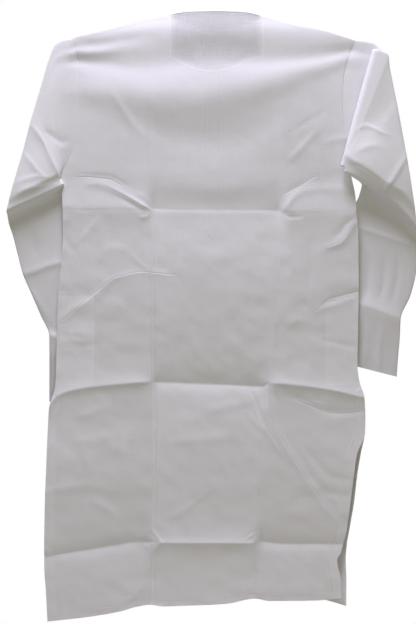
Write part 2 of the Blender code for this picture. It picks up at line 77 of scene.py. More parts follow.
# Back panel: one piece of thin plain-woven cotton, from the shoulder seams to the turned hem, with two
# long packing folds and three cross folds pressed into it. The neckline, placket and pockets of the front
# show through it as faint lines.
MM = 0.001
HALF = 0.75         # half of one wall and of one seam gap
WALL = 0.8
ARM_DEEP = 5.0
SLIT_DEEP = 7.0
SLIT_TOP = -640.0
NECK_HALF = 82.8
UNDERARM = 0.8
CREASE_WIDE = 28.0
SHOULDERS = [(-252.0, 22.5), (-208.8, 32.4), (-163.8, 44.5), (-118.8, 55.8), (-82.8, 62.1), (-50.4, 66.6),
             (7.2, 67.5), (52.2, 65.7), (82.8, 59.4), (120.6, 49.1), (151.2, 41.4), (187.2, 35.1),
             (232.2, 21.6), (250.2, 16.2)]
ARM_LEFT = [(-252.0, 22.5), (-252.5, 7.2), (-247.2, -21.6), (-248.3, -46.8), (-247.6, -73.8),
            (-249.1, -140.4), (-253.9, -172.8), (-277.2, -230.4)]
ARM_RIGHT = [(250.2, 16.2), (242.3, 0.9), (234.9, -21.6), (228.0, -55.8), (226.8, -108.0), (230.4, -144.0),
             (235.8, -189.0), (243.0, -225.0)]
SIDE_LEFT = [(-277.2, -230.4), (-277.2, -252.0), (-275.8, -286.2), (-275.5, -334.8), (-278.6, -379.8),
             (-284.0, -441.0), (-286.2, -514.8), (-289.3, -605.0), (-299.3, -640.8), (-301.0, -655.2),
             (-304.4, -739.8), (-307.8, -841.5), (-308.7, -911.7), (-305.1, -976.5), (-302.4, -1026.9)]
SIDE_RIGHT = [(243.0, -225.0), (251.3, -270.0), (252.0, -292.5), (255.6, -318.6), (256.7, -435.6),
              (255.6, -500.4), (254.5, -567.0), (257.4, -594.0), (266.4, -624.6), (268.7, -658.1),
              (268.0, -688.3), (252.9, -727.2), (246.6, -770.4), (240.8, -815.4), (234.7, -860.4),
              (228.6, -888.3), (224.1, -903.6), (217.1, -917.1), (224.1, -952.2), (225.4, -985.0)]
FRONT_RIGHT = SIDE_RIGHT[:11] + [(260.5, -727.2), (254.5, -764.1), (248.4, -815.4), (240.8, -860.4),
                                (236.0, -889.0), (233.6, -917.0), (234.7, -952.0), (234.4, -1001.0)]
CREASE_1 = [(-275.8, -286.2), (-126.0, -288.0), (-119.7, -286.7), (-82.8, -288.9), (-5.4, -289.8),
            (82.8, -289.8), (122.4, -290.5), (151.2, -292.5), (252.0, -292.5)]
CREASE_2 = [(-299.3, -640.8), (-284.4, -620.5), (-218.3, -604.8), (-115.7, -596.9), (-5.4, -601.2),
            (84.6, -604.8), (96.8, -598.9), (190.6, -608.4), (266.4, -624.6)]
CREASE_3 = [(-308.7, -911.7), (-267.3, -905.4), (-238.7, -900.0), (-139.0, -885.6), (-118.8, -885.6),
            (-99.0, -883.8), (67.7, -884.3), (73.4, -882.0), (124.2, -888.3), (228.6, -888.3)]
HEM = [(-302.4, -1026.9), (-223.2, -1017.0), (-169.2, -1007.1), (-145.8, -1000.1), (-117.7, -995.4),
       (-94.3, -998.3), (-43.6, -996.7), (18.9, -993.6), (68.4, -984.5), (96.8, -988.9), (171.0, -988.9),
       (225.4, -985.0)]
# Front neckline from the left neck point to the right one, each row (share of the curve, x, z)
SCOOP = [(0.0, -82.8, 62.1), (0.3, -82.8, -14.4), (0.35, -68.4, -21.6), (0.41, -46.8, -32.4),
         (0.455, -28.8, -38.7), (0.5, -5.9, -41.4), (0.55, 16.0, -38.0), (0.59, 34.2, -32.4),
         (0.645, 57.6, -19.8), (0.7, 82.8, -14.4), (1.0, 82.8, 59.4)]
# The two long folds at the top edge, the three cross folds and the hem
FOLD_LEFT = (-118.8, -119.7, -115.7, -118.8, -117.7)
FOLD_RIGHT = (120.6, 122.4, 96.8, 73.4, 68.4)
FOLD_RIGHT_WAY = [(0.0, 120.6), (1.0, 122.4), (1.62, 116.5), (1.64, 108.0), (2.0, 96.8), (2.26, 84.6),
                  (2.68, 77.4), (3.0, 73.4), (4.0, 68.4)]
# How far each cross fold moves the cloth: rows (x, toward the front)
MOVE_1 = [(-300, -3.0), (-135, -4.5), (-108, 5.5), (110, 6.0), (134, -4.0), (260, -3.0)]
MOVE_2 = [(-300, -4.0), (-128, -3.5), (-100, 4.0), (84, 4.5), (110, -4.5), (270, -4.0)]
MOVE_3 = [(-310, 3.0), (-132, 4.5), (-104, -5.5), (62, -5.5), (84, 4.5), (230, 3.0)]
STRIP_LEFT, STRIP_MIDDLE, STRIP_RIGHT = -17.1, -5.85, 5.4
# Folds pressed or pulled into the back, each (sharpness, [(x, z, height, width above, width below), ...])
BACK_FOLDS = [
    # Top edge: its roll between the holds, the trough under it, then the lines pulled from the left hold
    (2, [(-270, 11, 1, 12, 8), (-227, 22, 2.4, 12, 16), (-173, 31, 3.6, 14, 27), (-101, 36, 4.4, 20, 31),
      (-5, 34, 3.6, 28, 20), (97, 36, 4.4, 20, 31), (187, 29, 3.6, 14, 27), (241, 18, 2, 10, 14),
      (281, 11, 0.8, 8, 5)]),
    (2, [(-270, -13, -0.8, 8, 7), (-218, -27, -1.6, 12, 13), (-155, -31, -2, 18, 17),
      (-101, -27, -2.3, 24, 20), (-47, -20, -2.6, 26, 17), (-5, -17, -2.7, 27, 16), (61, -20, -2.4, 26, 17),
      (133, -18, -2.1, 22, 14), (187, -13, -1.8, 16, 10), (241, -2, -1.4, 8, 6), (277, 2, -0.8, 6, 4)]),
    (2, [(-277, -2, 1.2, 5, 5), (-252, -4, 2.4, 6, 6), (-218, -4, 2.2, 6, 7), (-173, 0, 1.1, 8, 9),
      (-119, 4, 0, 10, 12)]),
    (2, [(-270, -13, -0.8, 4, 5), (-245, -20, -1.2, 5, 8), (-200, -23, -0.8, 8, 10),
      (-155, -25, 0, 10, 10)]),
    (1.5, [(-248, 16, 0, 3, 4), (-227, 11, -0.9, 4, 5), (-173, 16, -0.7, 5, 7), (-119, 23, -0.3, 6, 8),
      (-74, 29, 0, 6, 8)]),
    # Broad lit roll below the neckline, the dark swag under it, the belly above the first cross crease
    (2, [(-256, -77, 1.4, 30, 16), (-209, -76, 3.5, 27, 26), (-155, -79, 4.9, 29, 34),
      (-101, -85, 6.1, 33, 44), (-47, -85, 6.4, 35, 46), (-5, -81, 6.2, 35, 44), (52, -70, 5.6, 32, 36),
      (106, -56, 4.4, 25, 28), (151, -41, 3.3, 19, 22), (205, -27, 2.2, 14, 14), (250, -13, 1.2, 8, 8),
      (281, -4, 0.5, 4, 6)]),
    (2, [(-187, -104, 0, 20, 20), (-119, -140, -0.9, 26, 26), (-56, -158, -1.4, 30, 26),
      (-5, -166, -1.5, 34, 26), (52, -158, -1.2, 30, 24), (106, -130, -0.5, 22, 18),
      (151, -104, 0, 14, 14)]),
    (2, [(-126, -234, 0.6, 30, 18), (-65, -241, 2, 40, 22), (-5, -245, 2.4, 42, 24), (61, -241, 2, 40, 22),
      (119, -230, 0.6, 30, 18)]),
    # Upper left: a slanting ridge, two folds from the underarm, the sharp fold to the star
    (1.6, [(-194, -68, 0, 5, 6), (-176, -95, 1, 6, 8), (-155, -126, 1.2, 7, 9), (-133, -153, 0.6, 8, 10),
      (-119, -171, 0, 8, 10)]),
    (1.4, [(-245, -229, 0, 3, 4), (-223, -227, -0.9, 3, 5), (-194, -230, -1.1, 3, 6), (-164, -241, -1, 3, 6),
      (-137, -252, 0, 3, 5)]),
    (1.6, [(-241, -243, 0, 4, 4), (-218, -241, 1.1, 4, 5), (-187, -249, 1.3, 4, 6),
      (-173, -256, 0.6, 4, 5)]),
    (1.4, [(-189, -248, 0.4, 3, 5), (-173, -256, 1.8, 3, 6), (-151, -268, 2.2, 3, 6),
      (-131, -280, 2.2, 3, 6), (-120, -287, 1.2, 3, 4)]),
    (1.6, [(-184, -259, 0, 3, 4), (-158, -274, -1.2, 4, 5), (-137, -286, -1.2, 4, 4),
      (-124, -292, 0, 3, 3)]),
    # Upper right: the fold and ridge that meet at the star, then short folds by the armhole
    (1.4, [(122, -261, -0.6, 4, 3), (137, -253, -1.6, 5, 3), (155, -243, -1.4, 5, 3),
      (175, -230, -0.4, 4, 3)]),
    (1.4, [(121, -289, 1.2, 3, 4), (128, -279, 2, 3, 5), (137, -268, 1.6, 4, 6), (151, -257, 1, 4, 6),
      (184, -251, 0.9, 4, 5), (214, -250, 0.8, 4, 5), (243, -252, 0.5, 4, 5)]),
    (1.6, [(126, -203, 0, 5, 5), (140, -191, 1, 5, 6), (160, -169, 1.1, 4, 6), (182, -146, 0.5, 4, 6),
      (196, -133, 0, 4, 5)]),
    (1.5, [(126, -151, 0, 3, 4), (148, -140, -0.6, 3, 5), (178, -121, -0.5, 4, 5), (205, -104, 0, 4, 5)]),
    (1.5, [(184, -173, 0, 3, 4), (205, -164, 0.8, 3, 5), (227, -160, 0.8, 3, 5), (241, -153, 0, 3, 4)]),
    (1.5, [(171, -167, 0, 4, 3), (178, -194, 0.6, 4, 3), (184, -220, 0.6, 4, 3), (187, -239, 0, 4, 3)]),
    # First cross crease: left share, middle, its soft floor, right share
    (1.15, [(-275, -287, -0.8, 5, 5), (-227, -288, -1, 5, 5), (-173, -288, -1.2, 5, 5),
      (-137, -289, -1.2, 5, 5), (-124, -288, -0.6, 4, 4)]),
    (1.3, [(-119, -289, 1, 14, 16), (-92, -290, 2.4, 24, 26), (-56, -290, 2.9, 28, 38),
      (-5, -290, 3, 28, 46), (43, -290, 2.8, 28, 40), (83, -290, 2.2, 24, 28), (121, -292, 0.8, 14, 14)]),
    (1.5, [(-119, -289, 0, 7, 7), (-83, -291, 1.1, 9, 12), (-5, -292, 1.4, 9, 13), (70, -292, 1.1, 9, 12),
      (121, -292, 0, 7, 7)]),
    (1.2, [(126, -293, -1, 4, 5), (151, -293, -1.1, 4, 6), (187, -293, -0.8, 4, 5),
      (245, -292, -0.6, 4, 4)]),
    # Rim of the lit belly, and the dents at both stars
    (2, [(-86, -342, 0, 14, 10), (-47, -364, 0.5, 18, 12), (-5, -378, 0.8, 20, 14), (43, -364, 0.7, 18, 12),
      (83, -328, 0.3, 12, 10), (101, -310, 0, 8, 8)]),
    (1.5, [(-139, -301, 0, 2, 2), (-130, -302, 1.4, 2, 3), (-122, -299, 1.2, 2, 2),
      (-119, -292, 0.2, 2, 2)]),
    (1.5, [(122, -295, -0.4, 2, 3), (133, -301, -1.3, 3, 4), (148, -301, -0.8, 3, 3), (158, -297, 0, 2, 2)]),
    (1.4, [(-146, -259, 0, 2, 3), (-133, -263, 1, 2, 3), (-122, -272, 0.8, 2, 3), (-117, -281, 0, 2, 2)]),
    # Between the first two cross creases, left
    (1.5, [(-281, -484, 0.4, 3, 5), (-254, -464, 1.3, 4, 8), (-227, -450, 1.4, 4, 8),
      (-207, -434, 1.2, 4, 7), (-189, -414, 1.3, 4, 6), (-169, -407, 1, 3, 5), (-137, -401, 0.6, 3, 5),
      (-101, -404, 0.4, 3, 4), (-79, -405, 0, 3, 3)]),
    (1.6, [(-256, -353, 0, 4, 5), (-238, -335, 0.9, 4, 7), (-216, -310, 0.9, 4, 6), (-205, -299, 0, 4, 5)]),
    (1.6, [(-275, -335, -0.6, 5, 8), (-263, -353, -0.9, 5, 7), (-248, -371, 0, 4, 5)]),
    (1.5, [(-155, -360, 0, 2, 3), (-137, -383, 0.8, 2, 4), (-115, -396, 0.7, 2, 3), (-86, -403, 0, 2, 3)]),
    (1.8, [(-209, -382, 0, 6, 6), (-187, -356, 0.7, 8, 8), (-164, -360, 0.5, 6, 6), (-146, -382, 0, 5, 5)]),
    # Between them, right: the S fold at the edge and the fold over the pocket
    (1.4, [(191, -356, 0, 3, 4), (209, -352, 1.5, 3, 6), (225, -346, 1.8, 4, 7), (238, -328, 1.8, 4, 7),
      (247, -313, 1.6, 3, 6), (255, -307, 0.8, 3, 5)]),
    (1.6, [(205, -338, 0, 5, 4), (220, -331, -1.1, 6, 4), (232, -315, -1.1, 6, 4), (245, -301, 0, 5, 3)]),
    (1.35, [(184, -472, -0.3, 3, 3), (196, -457, -1.2, 4, 3), (212, -449, -1.7, 5, 3),
      (234, -442, -1.7, 5, 3), (255, -435, -1.2, 4, 3)]),
    (1.5, [(180, -473, 0.2, 3, 4), (191, -465, 1.1, 3, 4), (209, -459, 0.8, 3, 5), (241, -449, 0.6, 3, 5),
      (254, -445, 0.3, 3, 4)]),
    (1.8, [(137, -457, 0, 7, 7), (162, -459, -0.7, 7, 7), (175, -482, -0.6, 7, 7), (187, -495, 0, 5, 5)]),
    (1.8, [(122, -482, 0, 5, 6), (133, -490, 0.7, 6, 7), (151, -486, 0.5, 5, 6), (166, -497, 0, 5, 5)]),
    # Over the lower ends of the pocket bags
    (1.5, [(-275, -506, 0, 2, 3), (-263, -509, 0.9, 2, 3), (-248, -508, 0.6, 2, 3), (-234, -513, 0.9, 2, 3),
      (-220, -511, 0, 2, 3)]),
    (1.5, [(-270, -518, 0, 2, 3), (-256, -520, 0.8, 2, 3), (-238, -523, 1, 2, 3), (-220, -519, 0.6, 2, 3)]),
    (1.3, [(193, -523, -0.8, 3, 3), (209, -526, -1.3, 3, 3), (230, -531, -1.1, 3, 3),
      (252, -534, -0.8, 3, 3)]),
    (1.3, [(-284, -534, -0.5, 2, 2), (-254, -534, -0.6, 2, 2), (-218, -531, -0.5, 2, 2)]),
    # Second cross crease: left share, middle, right share
    (1.15, [(-299, -643, 0.6, 5, 4), (-284, -623, 1.6, 10, 5), (-245, -610, 1.8, 12, 5),
      (-191, -603, 1.8, 12, 5), (-137, -598, 1.6, 10, 4), (-119, -597, 0.8, 5, 3)]),
    (1.2, [(-113, -598, -0.8, 5, 4), (-92, -599, -1.8, 16, 8), (-47, -601, -2.5, 30, 10),
      (-5, -602, -2.6, 36, 11), (43, -604, -2.4, 28, 9), (72, -606, -1.8, 14, 8), (86, -606, -0.5, 5, 3)]),
    (1.15, [(97, -598, 0.6, 4, 3), (133, -602, 1.6, 12, 5), (178, -607, 1.8, 12, 6), (223, -615, 2, 12, 6),
      (266, -626, 1.6, 10, 5)]),
    # Under it, right, by the side slit
    (1.4, [(122, -619, 0, 4, 3), (144, -628, -1, 5, 3), (169, -637, -1.2, 5, 3), (184, -645, -1.3, 5, 3),
      (205, -652, -1.6, 5, 3), (232, -653, -1.4, 5, 3), (266, -649, -0.6, 4, 3)]),
    (1.5, [(133, -628, 0, 3, 3), (155, -634, 0.9, 3, 3), (180, -636, 0.7, 3, 3), (198, -639, 0, 3, 3)]),
    (1.5, [(245, -619, 0, 2, 2), (252, -614, 0.8, 2, 2), (259, -611, 0.6, 2, 2)]),
    # Short slants where the right long fold ends
    (1.35, [(63, -614, -0.8, 4, 2), (70, -630, -1.3, 4, 2), (77, -652, -1.3, 4, 2), (86, -674, -1.2, 3, 2)]),
    (1.4, [(54, -650, 0.4, 3, 3), (65, -664, 0.8, 3, 3), (77, -680, 0.5, 3, 3)]),
    (1.4, [(85, -677, 1, 3, 3), (94, -693, 1.4, 3, 3), (106, -711, 1.3, 3, 3), (117, -727, 0.4, 3, 3)]),
    # Long slanting fold to the side slit: lit side, shaded side and a dent beside it
    (1.35, [(92, -605, 0.5, 2, 5), (94, -630, 0.6, 2, 5), (95, -657, 0.8, 2, 6), (108, -689, 1, 3, 7),
      (126, -718, 1.1, 3, 7), (144, -745, 1.1, 3, 7), (164, -778, 1, 3, 7), (184, -808, 0.9, 3, 6),
      (202, -832, 0.7, 3, 5), (220, -850, 0.3, 2, 4)]),
    (1.35, [(103, -608, -0.3, 6, 2), (108, -648, -0.5, 6, 2), (121, -686, -0.7, 7, 2),
      (138, -715, -0.7, 7, 2), (156, -742, -0.7, 7, 2), (175, -774, -0.6, 6, 2), (194, -805, -0.5, 6, 2),
      (214, -830, -0.3, 5, 2)]),
    (1.5, [(101, -612, 0, 3, 3), (108, -626, -0.8, 4, 3), (119, -652, -0.6, 4, 3), (126, -666, 0, 3, 3)]),
    # Soft folds beside it
    (1.8, [(148, -704, 0, 6, 6), (166, -724, -0.9, 7, 6), (187, -749, -0.8, 7, 6), (212, -770, -0.8, 7, 6),
      (241, -774, -0.4, 6, 5)]),
    (1.8, [(162, -763, 0, 6, 6), (184, -781, -0.8, 6, 6), (205, -797, -0.8, 6, 5), (236, -801, -0.5, 5, 5)]),
    # Third cross crease: left share, middle, right share
    (1.15, [(-308, -912, -1.2, 6, 6), (-268, -904, -2.2, 12, 10), (-209, -895, -2.4, 14, 12),
      (-164, -886, -2, 10, 10), (-137, -882, -0.8, 4, 4)]),
    (1.15, [(-97, -884, 0.8, 4, 3), (-65, -884, 1.4, 8, 4), (-5, -885, 1.6, 9, 4), (43, -885, 1.5, 8, 4),
      (65, -885, 0.8, 4, 3)]),
    (1.15, [(74, -884, -1, 4, 4), (124, -888, -2.2, 12, 10), (169, -888, -2.2, 12, 10),
      (229, -889, -1.6, 8, 8)]),
    # Small diamond where it crosses the left long fold
    (1.3, [(-138, -882, 0.6, 2, 3), (-128, -871, 1.4, 2, 3), (-118, -861, 0.6, 2, 3)]),
    (1.3, [(-116, -861, 0.6, 3, 2), (-108, -872, 1.6, 3, 2), (-98, -884, 0.8, 3, 2)]),
    (1.3, [(-137, -884, 0.2, 2, 3), (-128, -888, 1, 2, 3), (-121, -895, 0.6, 2, 3), (-115, -911, 0, 2, 3)]),
    (1.3, [(-116, -911, 0.3, 3, 2), (-110, -899, 1.4, 3, 2), (-99, -886, 0.6, 3, 2)]),
    (1.6, [(-130, -886, -0.8, 3, 3), (-119, -883, -1.4, 4, 4), (-108, -884, -0.9, 3, 3)]),
    # Small star where it crosses the right long fold
    (1.4, [(56, -878, 0.3, 2, 2), (63, -872, 1.2, 2, 2), (70, -868, 0.4, 2, 2)]),
    (1.4, [(68, -871, 0.2, 2, 2), (73, -880, 1.2, 2, 2), (77, -887, 0.2, 2, 2)]),
    # Soft folds and patches of the skirt
    (1.6, [(-173, -997, 0, 3, 4), (-151, -983, 0.9, 3, 5), (-137, -968, 0.7, 3, 4), (-119, -950, 0, 3, 3)]),
    (1.9, [(-227, -805, 0, 6, 6), (-209, -815, 0.8, 7, 7), (-187, -828, 0.6, 6, 6), (-169, -846, 0, 5, 5)]),
    (1.9, [(-308, -796, 0.4, 5, 6), (-281, -788, 0.8, 6, 7), (-254, -785, 0.7, 6, 7),
      (-223, -779, 0.4, 5, 6)]),
    (1.9, [(-92, -844, 0, 5, 6), (-61, -828, 0.8, 6, 7), (-29, -805, 0.7, 6, 6), (-7, -787, 0, 5, 5)]),
    (2, [(-92, -707, 0, 8, 8), (-56, -702, 0.9, 9, 9), (-2, -698, 0.8, 9, 9), (43, -684, 0, 8, 8)]),
    (2, [(-29, -652, 0, 8, 8), (7, -644, 0.8, 9, 8), (43, -637, 0.6, 8, 8), (70, -634, 0, 6, 6)]),
    (2, [(-173, -666, 0, 8, 8), (-166, -702, 0.8, 9, 9), (-171, -756, 0.7, 9, 9), (-180, -810, 0, 8, 8)]),
    (2, [(-263, -662, 0, 8, 8), (-230, -655, 0.9, 9, 8), (-202, -644, 0.6, 8, 8), (-180, -637, 0, 6, 6)]),
    # The two long folds, stretch by stretch, and soft uprights beside them
    (1.2, [(-118, -299, 0, 5, 5), (-119, -342, -0.7, 5, 6), (-119, -450, -0.8, 5, 6),
      (-117, -540, -0.8, 5, 6), (-116, -590, -0.3, 4, 4)]),
    (1.2, [(-117, -605, -0.3, 4, 4), (-116, -666, -0.8, 5, 6), (-115, -756, -0.8, 5, 6),
      (-117, -846, -0.6, 5, 6)]),
    (1.3, [(-117, -914, 0, 4, 4), (-117, -945, -0.6, 5, 5), (-118, -990, -0.6, 5, 5)]),
    (1.8, [(121, -299, 0, 8, 8), (121, -342, -0.9, 9, 9), (117, -450, -0.8, 9, 9), (113, -522, -0.8, 8, 8),
      (110, -590, -0.2, 6, 6)]),
    (1.9, [(171, -328, 0, 8, 8), (171, -369, -0.9, 9, 9), (169, -414, -0.8, 9, 9), (166, -457, 0, 8, 8)]),
    (1.5, [(83, -684, 0, 6, 6), (76, -756, -0.7, 7, 7), (72, -828, -0.7, 7, 7), (70, -864, -0.3, 5, 5)]),
    (1.4, [(70, -904, 0, 5, 5), (68, -936, -0.6, 5, 5), (68, -976, -0.6, 5, 5)]),
    (2, [(-216, -320, 0, 8, 8), (-214, -382, -0.6, 10, 10), (-216, -450, -0.7, 9, 9),
      (-216, -540, -0.6, 9, 9), (-218, -601, 0, 8, 8)]),
    (2, [(-263, -702, 0, 8, 8), (-234, -702, 0.8, 9, 9), (-202, -698, 0.6, 8, 8), (-180, -688, 0, 6, 6)]),
]


def smooth(xs, ys, t):
    """A curve without overshoot through (xs, ys), read at t."""
    xs, ys = np.asarray(xs, float), np.asarray(ys, float)
    h = np.diff(xs)
    d = np.diff(ys) / h
    m = np.empty_like(ys)
    m[0], m[-1] = d[0], d[-1]
    a, b = 2 * h[1:] + h[:-1], h[1:] + 2 * h[:-1]
    same = d[:-1] * d[1:] > 0
    safe = np.where(same, d[:-1], 1.0), np.where(same, d[1:], 1.0)
    m[1:-1] = np.where(same, (a + b) / (a / safe[0] + b / safe[1]), 0.0)
    t = np.clip(t, xs[0], xs[-1])
    k = np.clip(np.searchsorted(xs, t, side="right") - 1, 0, len(h) - 1)
    s = (t - xs[k]) / h[k]
    return ((1 + 2 * s) * (1 - s) ** 2 * ys[k] + s * (1 - s) ** 2 * h[k] * m[k]
            + s * s * (3 - 2 * s) * ys[k + 1] + s * s * (s - 1) * h[k] * m[k + 1])


def read(rows, t, key=0, column=1):
    """One column of a short table at t, smooth between its rows."""
    a = np.asarray(rows, float)
    a = a[np.argsort(a[:, key], kind="stable")]
    a = a[np.concatenate([[True], np.diff(a[:, key]) > 1e-6])]
    return smooth(a[:, key], a[:, column], t)


def near(d, wide):
    return np.exp(-np.abs(d) / wide)


def ease(t):
    t = np.clip(t, 0.0, 1.0)
    return t * t * (3 - 2 * t)


SIDE_L = ARM_LEFT + SIDE_LEFT[1:]
SIDE_R = ARM_RIGHT + SIDE_RIGHT[1:]
SIDE_RF = ARM_RIGHT + FRONT_RIGHT[1:]


def arm_half(z, arm):
    """Half the depth of the open armhole at a height."""
    t = np.clip((arm[0][1] - z) / (arm[0][1] - arm[-1][1]), 0.0, 1.0)
    return ARM_DEEP * np.sin(np.pi * t) ** 0.8


def middle(x, z):
    """The sway that back and front share."""
    y = read(MOVE_1, x) * near(z - read(CREASE_1, x), CREASE_WIDE)
    y = y + read(MOVE_2, x) * near(z - read(CREASE_2, x), CREASE_WIDE)
    y = y + read(MOVE_3, x) * near(z - read(CREASE_3, x), CREASE_WIDE)
    level = np.interp(-z, (-60, 290, 600, 885, 990), (0, 1, 2, 3, 4))
    fold = near(x + 118.5, 14.0) + near(x - read(FOLD_RIGHT_WAY, level), 14.0)
    return y - 1.2 * ease(level / 0.5) * fold


def swell(x, z):
    """Share of a panel's full depth: none at the side seams and the shoulders, all in the middle."""
    left, right = read(SIDE_L, z, 1, 0), read(SIDE_RF, z, 1, 0)
    s = np.clip((2 * x - left - right) / (right - left), -1.0, 1.0)
    edge_l = arm_half(z, ARM_LEFT) + SLIT_DEEP * ease((SLIT_TOP - z) / 120)
    edge_r = arm_half(z, ARM_RIGHT) + SLIT_DEEP * ease((SLIT_TOP - z) / 120)
    edge = edge_l + (edge_r - edge_l) * (s + 1) / 2
    drop = np.maximum(read(SHOULDERS, x) - z, 0.0)
    return edge, 1 - np.abs(s) ** 2.6, 1 - np.exp(-drop / 42.0)


DEEP_AT = (-60, 60, 290, 420, 600, 750, 885, 1000)


def back_form(x, z):
    """The back's middle surface without its folds."""
    edge, full, roof = swell(x, z)
    deep = read(list(zip(DEEP_AT, (9, 13, 9.5, 14, 10.5, 14, 11, 13))), -z)
    inside = np.clip(1 - (x / NECK_HALF) ** 2, 0.0, 1.0) ** 0.7
    roof = np.maximum(roof, 0.55 * inside)
    return middle(x, z) - HALF - edge * np.minimum(1, roof) - roof * np.maximum(deep - edge, 0) * full


def along(path, step=6.0):
    """A path's rows made smooth and close together, by its length."""
    a = np.asarray(path, float)
    run = np.concatenate([[0], np.cumsum(np.hypot(*np.diff(a[:, :2], axis=0).T))])
    t = np.linspace(0, run[-1], max(3, int(run[-1] / step) + 1))
    return np.stack([smooth(run, a[:, c], t) for c in range(a.shape[1])], 1)


def beside(x, z, line):
    """Distance from points to a line, above it positive, and its other columns at the nearest place."""
    a, b = line[:-1], line[1:]
    way = b[:, :2] - a[:, :2]
    size = np.maximum((way ** 2).sum(1), 1e-9)
    best = np.full(x.shape, 1e9)
    side = np.ones(x.shape)
    rest = np.zeros(x.shape + (line.shape[1] - 2,))
    for k in range(len(a)):
        px, pz = x - a[k, 0], z - a[k, 1]
        t = np.clip((px * way[k, 0] + pz * way[k, 1]) / size[k], 0, 1)
        d = np.hypot(px - t * way[k, 0], pz - t * way[k, 1])
        hit = d < best - 1e-9
        best = np.where(hit, d, best)
        side = np.where(hit, np.sign(pz * way[k, 0] - px * way[k, 1]), side)
        rest[hit] = (a[k, 2:] + (b[k, 2:] - a[k, 2:]) * t[hit][:, None])
    return best * side, rest


def relief(x, z, folds):
    """Sum of all the folds' heights at (x, z), toward the eye."""
    total = np.zeros(x.shape)
    for sharp, path in folds:
        line = along(path)
        reach = 3.2 * max(line[:, 3].max(), line[:, 4].max())
        some = ((x > line[:, 0].min() - reach) & (x < line[:, 0].max() + reach)
                & (z > line[:, 1].min() - reach) & (z < line[:, 1].max() + reach))
        if not some.any():
            continue
        d, columns = beside(x[some], z[some], line)
        height, up, down = columns.T
        total[some] += height * np.exp(-(np.abs(d) / np.where(d > 0, up, down)) ** sharp)
    return total


def spread(lengths, marks, fine, step, close=2.0):
    """Marks along a side: even steps, closer together near the places in fine."""
    t = np.linspace(marks[0], marks[-1], 4000)
    at = np.interp(t, marks, lengths)
    closer = np.max([np.exp(-((at - f) / 16) ** 2) for f in fine] + [0 * at], 0)
    weight = 1 / step + (1 / close - 1 / step) * closer
    run = np.concatenate([[0], np.cumsum((weight[1:] + weight[:-1]) / 2 * np.diff(at))])
    return np.interp(np.linspace(0, run[-1], int(run[-1]) + 1), run, t)


def patchwork(rows, columns, us, vs):
    """Blend a net of row curves and column curves into a grid of (x, z), whole numbers being the curves."""
    r = np.array([[smooth(*np.asarray(c, float).T[[0, n]], us) for n in (1, 2)] for c in rows])
    c = np.array([[smooth(*np.asarray(k, float).T[[0, n]], vs) for n in (1, 2)] for k in columns])
    corner = np.array([[[smooth(*np.asarray(k, float).T[[0, n]], float(m)) for n in (1, 2)]
                        for m in range(len(columns))] for k in rows])
    b = np.minimum(vs.astype(int), len(rows) - 2)
    a = np.minimum(us.astype(int), len(columns) - 2)
    q, p = (vs - b)[:, None], (us - a)[None, :]
    ends = [corner[np.ix_(b + i, a + j)] for i in (0, 1) for j in (0, 1)]
    grid = []
    for n in (0, 1):
        low, high = r[b, n], r[b + 1, n]
        left, right = c[a, n].T, c[a + 1, n].T
        flat = ((1 - q) * ((1 - p) * ends[0][..., n] + p * ends[1][..., n])
                + q * ((1 - p) * ends[2][..., n] + p * ends[3][..., n]))
        grid.append((1 - q) * low + q * high + (1 - p) * left + p * right - flat)
    return grid


def row_by_x(curve, stops):
    """A row curve (x, z) marked with u, which counts the stops along x."""
    a = np.array(curve, float)
    a[0, 0], a[-1, 0] = stops[0], stops[-1]
    xs = sorted(set(a[:, 0]) | set(stops))
    return [(np.interp(x, stops, range(len(stops))), x, np.interp(x, a[:, 0], a[:, 1])) for x in xs]


def side_column(arm, side, levels):
    """A side edge marked with v: the armhole, the side seam to the first cross fold, then fold by fold."""
    a = np.array(list(arm) + list(side[1:]), float)
    heights = [-levels[0], -arm[-1][1]] + [-h for h in levels[1:]]
    marks = [0, UNDERARM] + list(range(1, len(levels)))
    return [(np.interp(-z, heights, marks), x, z) for x, z in a]


def straight_column(rows, u):
    a = [np.asarray(r, float) for r in rows]
    return [(v, np.interp(u, r[:, 0], r[:, 1]), np.interp(u, r[:, 0], r[:, 2])) for v, r in enumerate(a)]


def crumple(x, z, size, seed):
    """Soft uneven ground about nought, from a fixed net of random heights size millimetres apart."""
    net = np.random.RandomState(seed).uniform(-1, 1, (64, 64))
    u, v = x / size + 32, z / size + 32
    i, j = np.floor(u).astype(int), np.floor(v).astype(int)
    p, q = ease(u - i), ease(v - j)

    def at(a, b):
        return net[np.mod(a, 64), np.mod(b, 64)]

    return ((at(i, j) * (1 - p) + at(i + 1, j) * p) * (1 - q)
            + (at(i, j + 1) * (1 - p) + at(i + 1, j + 1) * p) * q)


def back_relief(x, z):
    """All folds of the back, its uneven ground, and the puckers along its side seams and hem."""
    low = ease((-z - 200) / 300)
    ground = 0.55 * crumple(x, 1.3 * z, 30.0, 3) + 0.30 * crumple(x + 0.4 * z, z, 17.0, 5)
    side = np.minimum(x - read(SIDE_L, z, 1, 0), read(SIDE_R, z, 1, 0) - x)
    pucker = crumple(z, x, 9.0, 7) * np.exp(-np.maximum(side, 0) / 11.0)
    foot = crumple(x, z, 13.0, 9) * np.exp(-np.maximum(z - read(HEM, x), 0) / 13.0)
    seam = 0.45 * pucker * ease((-z - 230) / 60)
    return relief(x, z, BACK_FOLDS) + (0.35 + 0.65 * low) * ground + seam + 0.8 * foot


def back_y(x, z):
    """The back's middle surface with its folds."""
    return back_form(x, z) - back_relief(x, z)


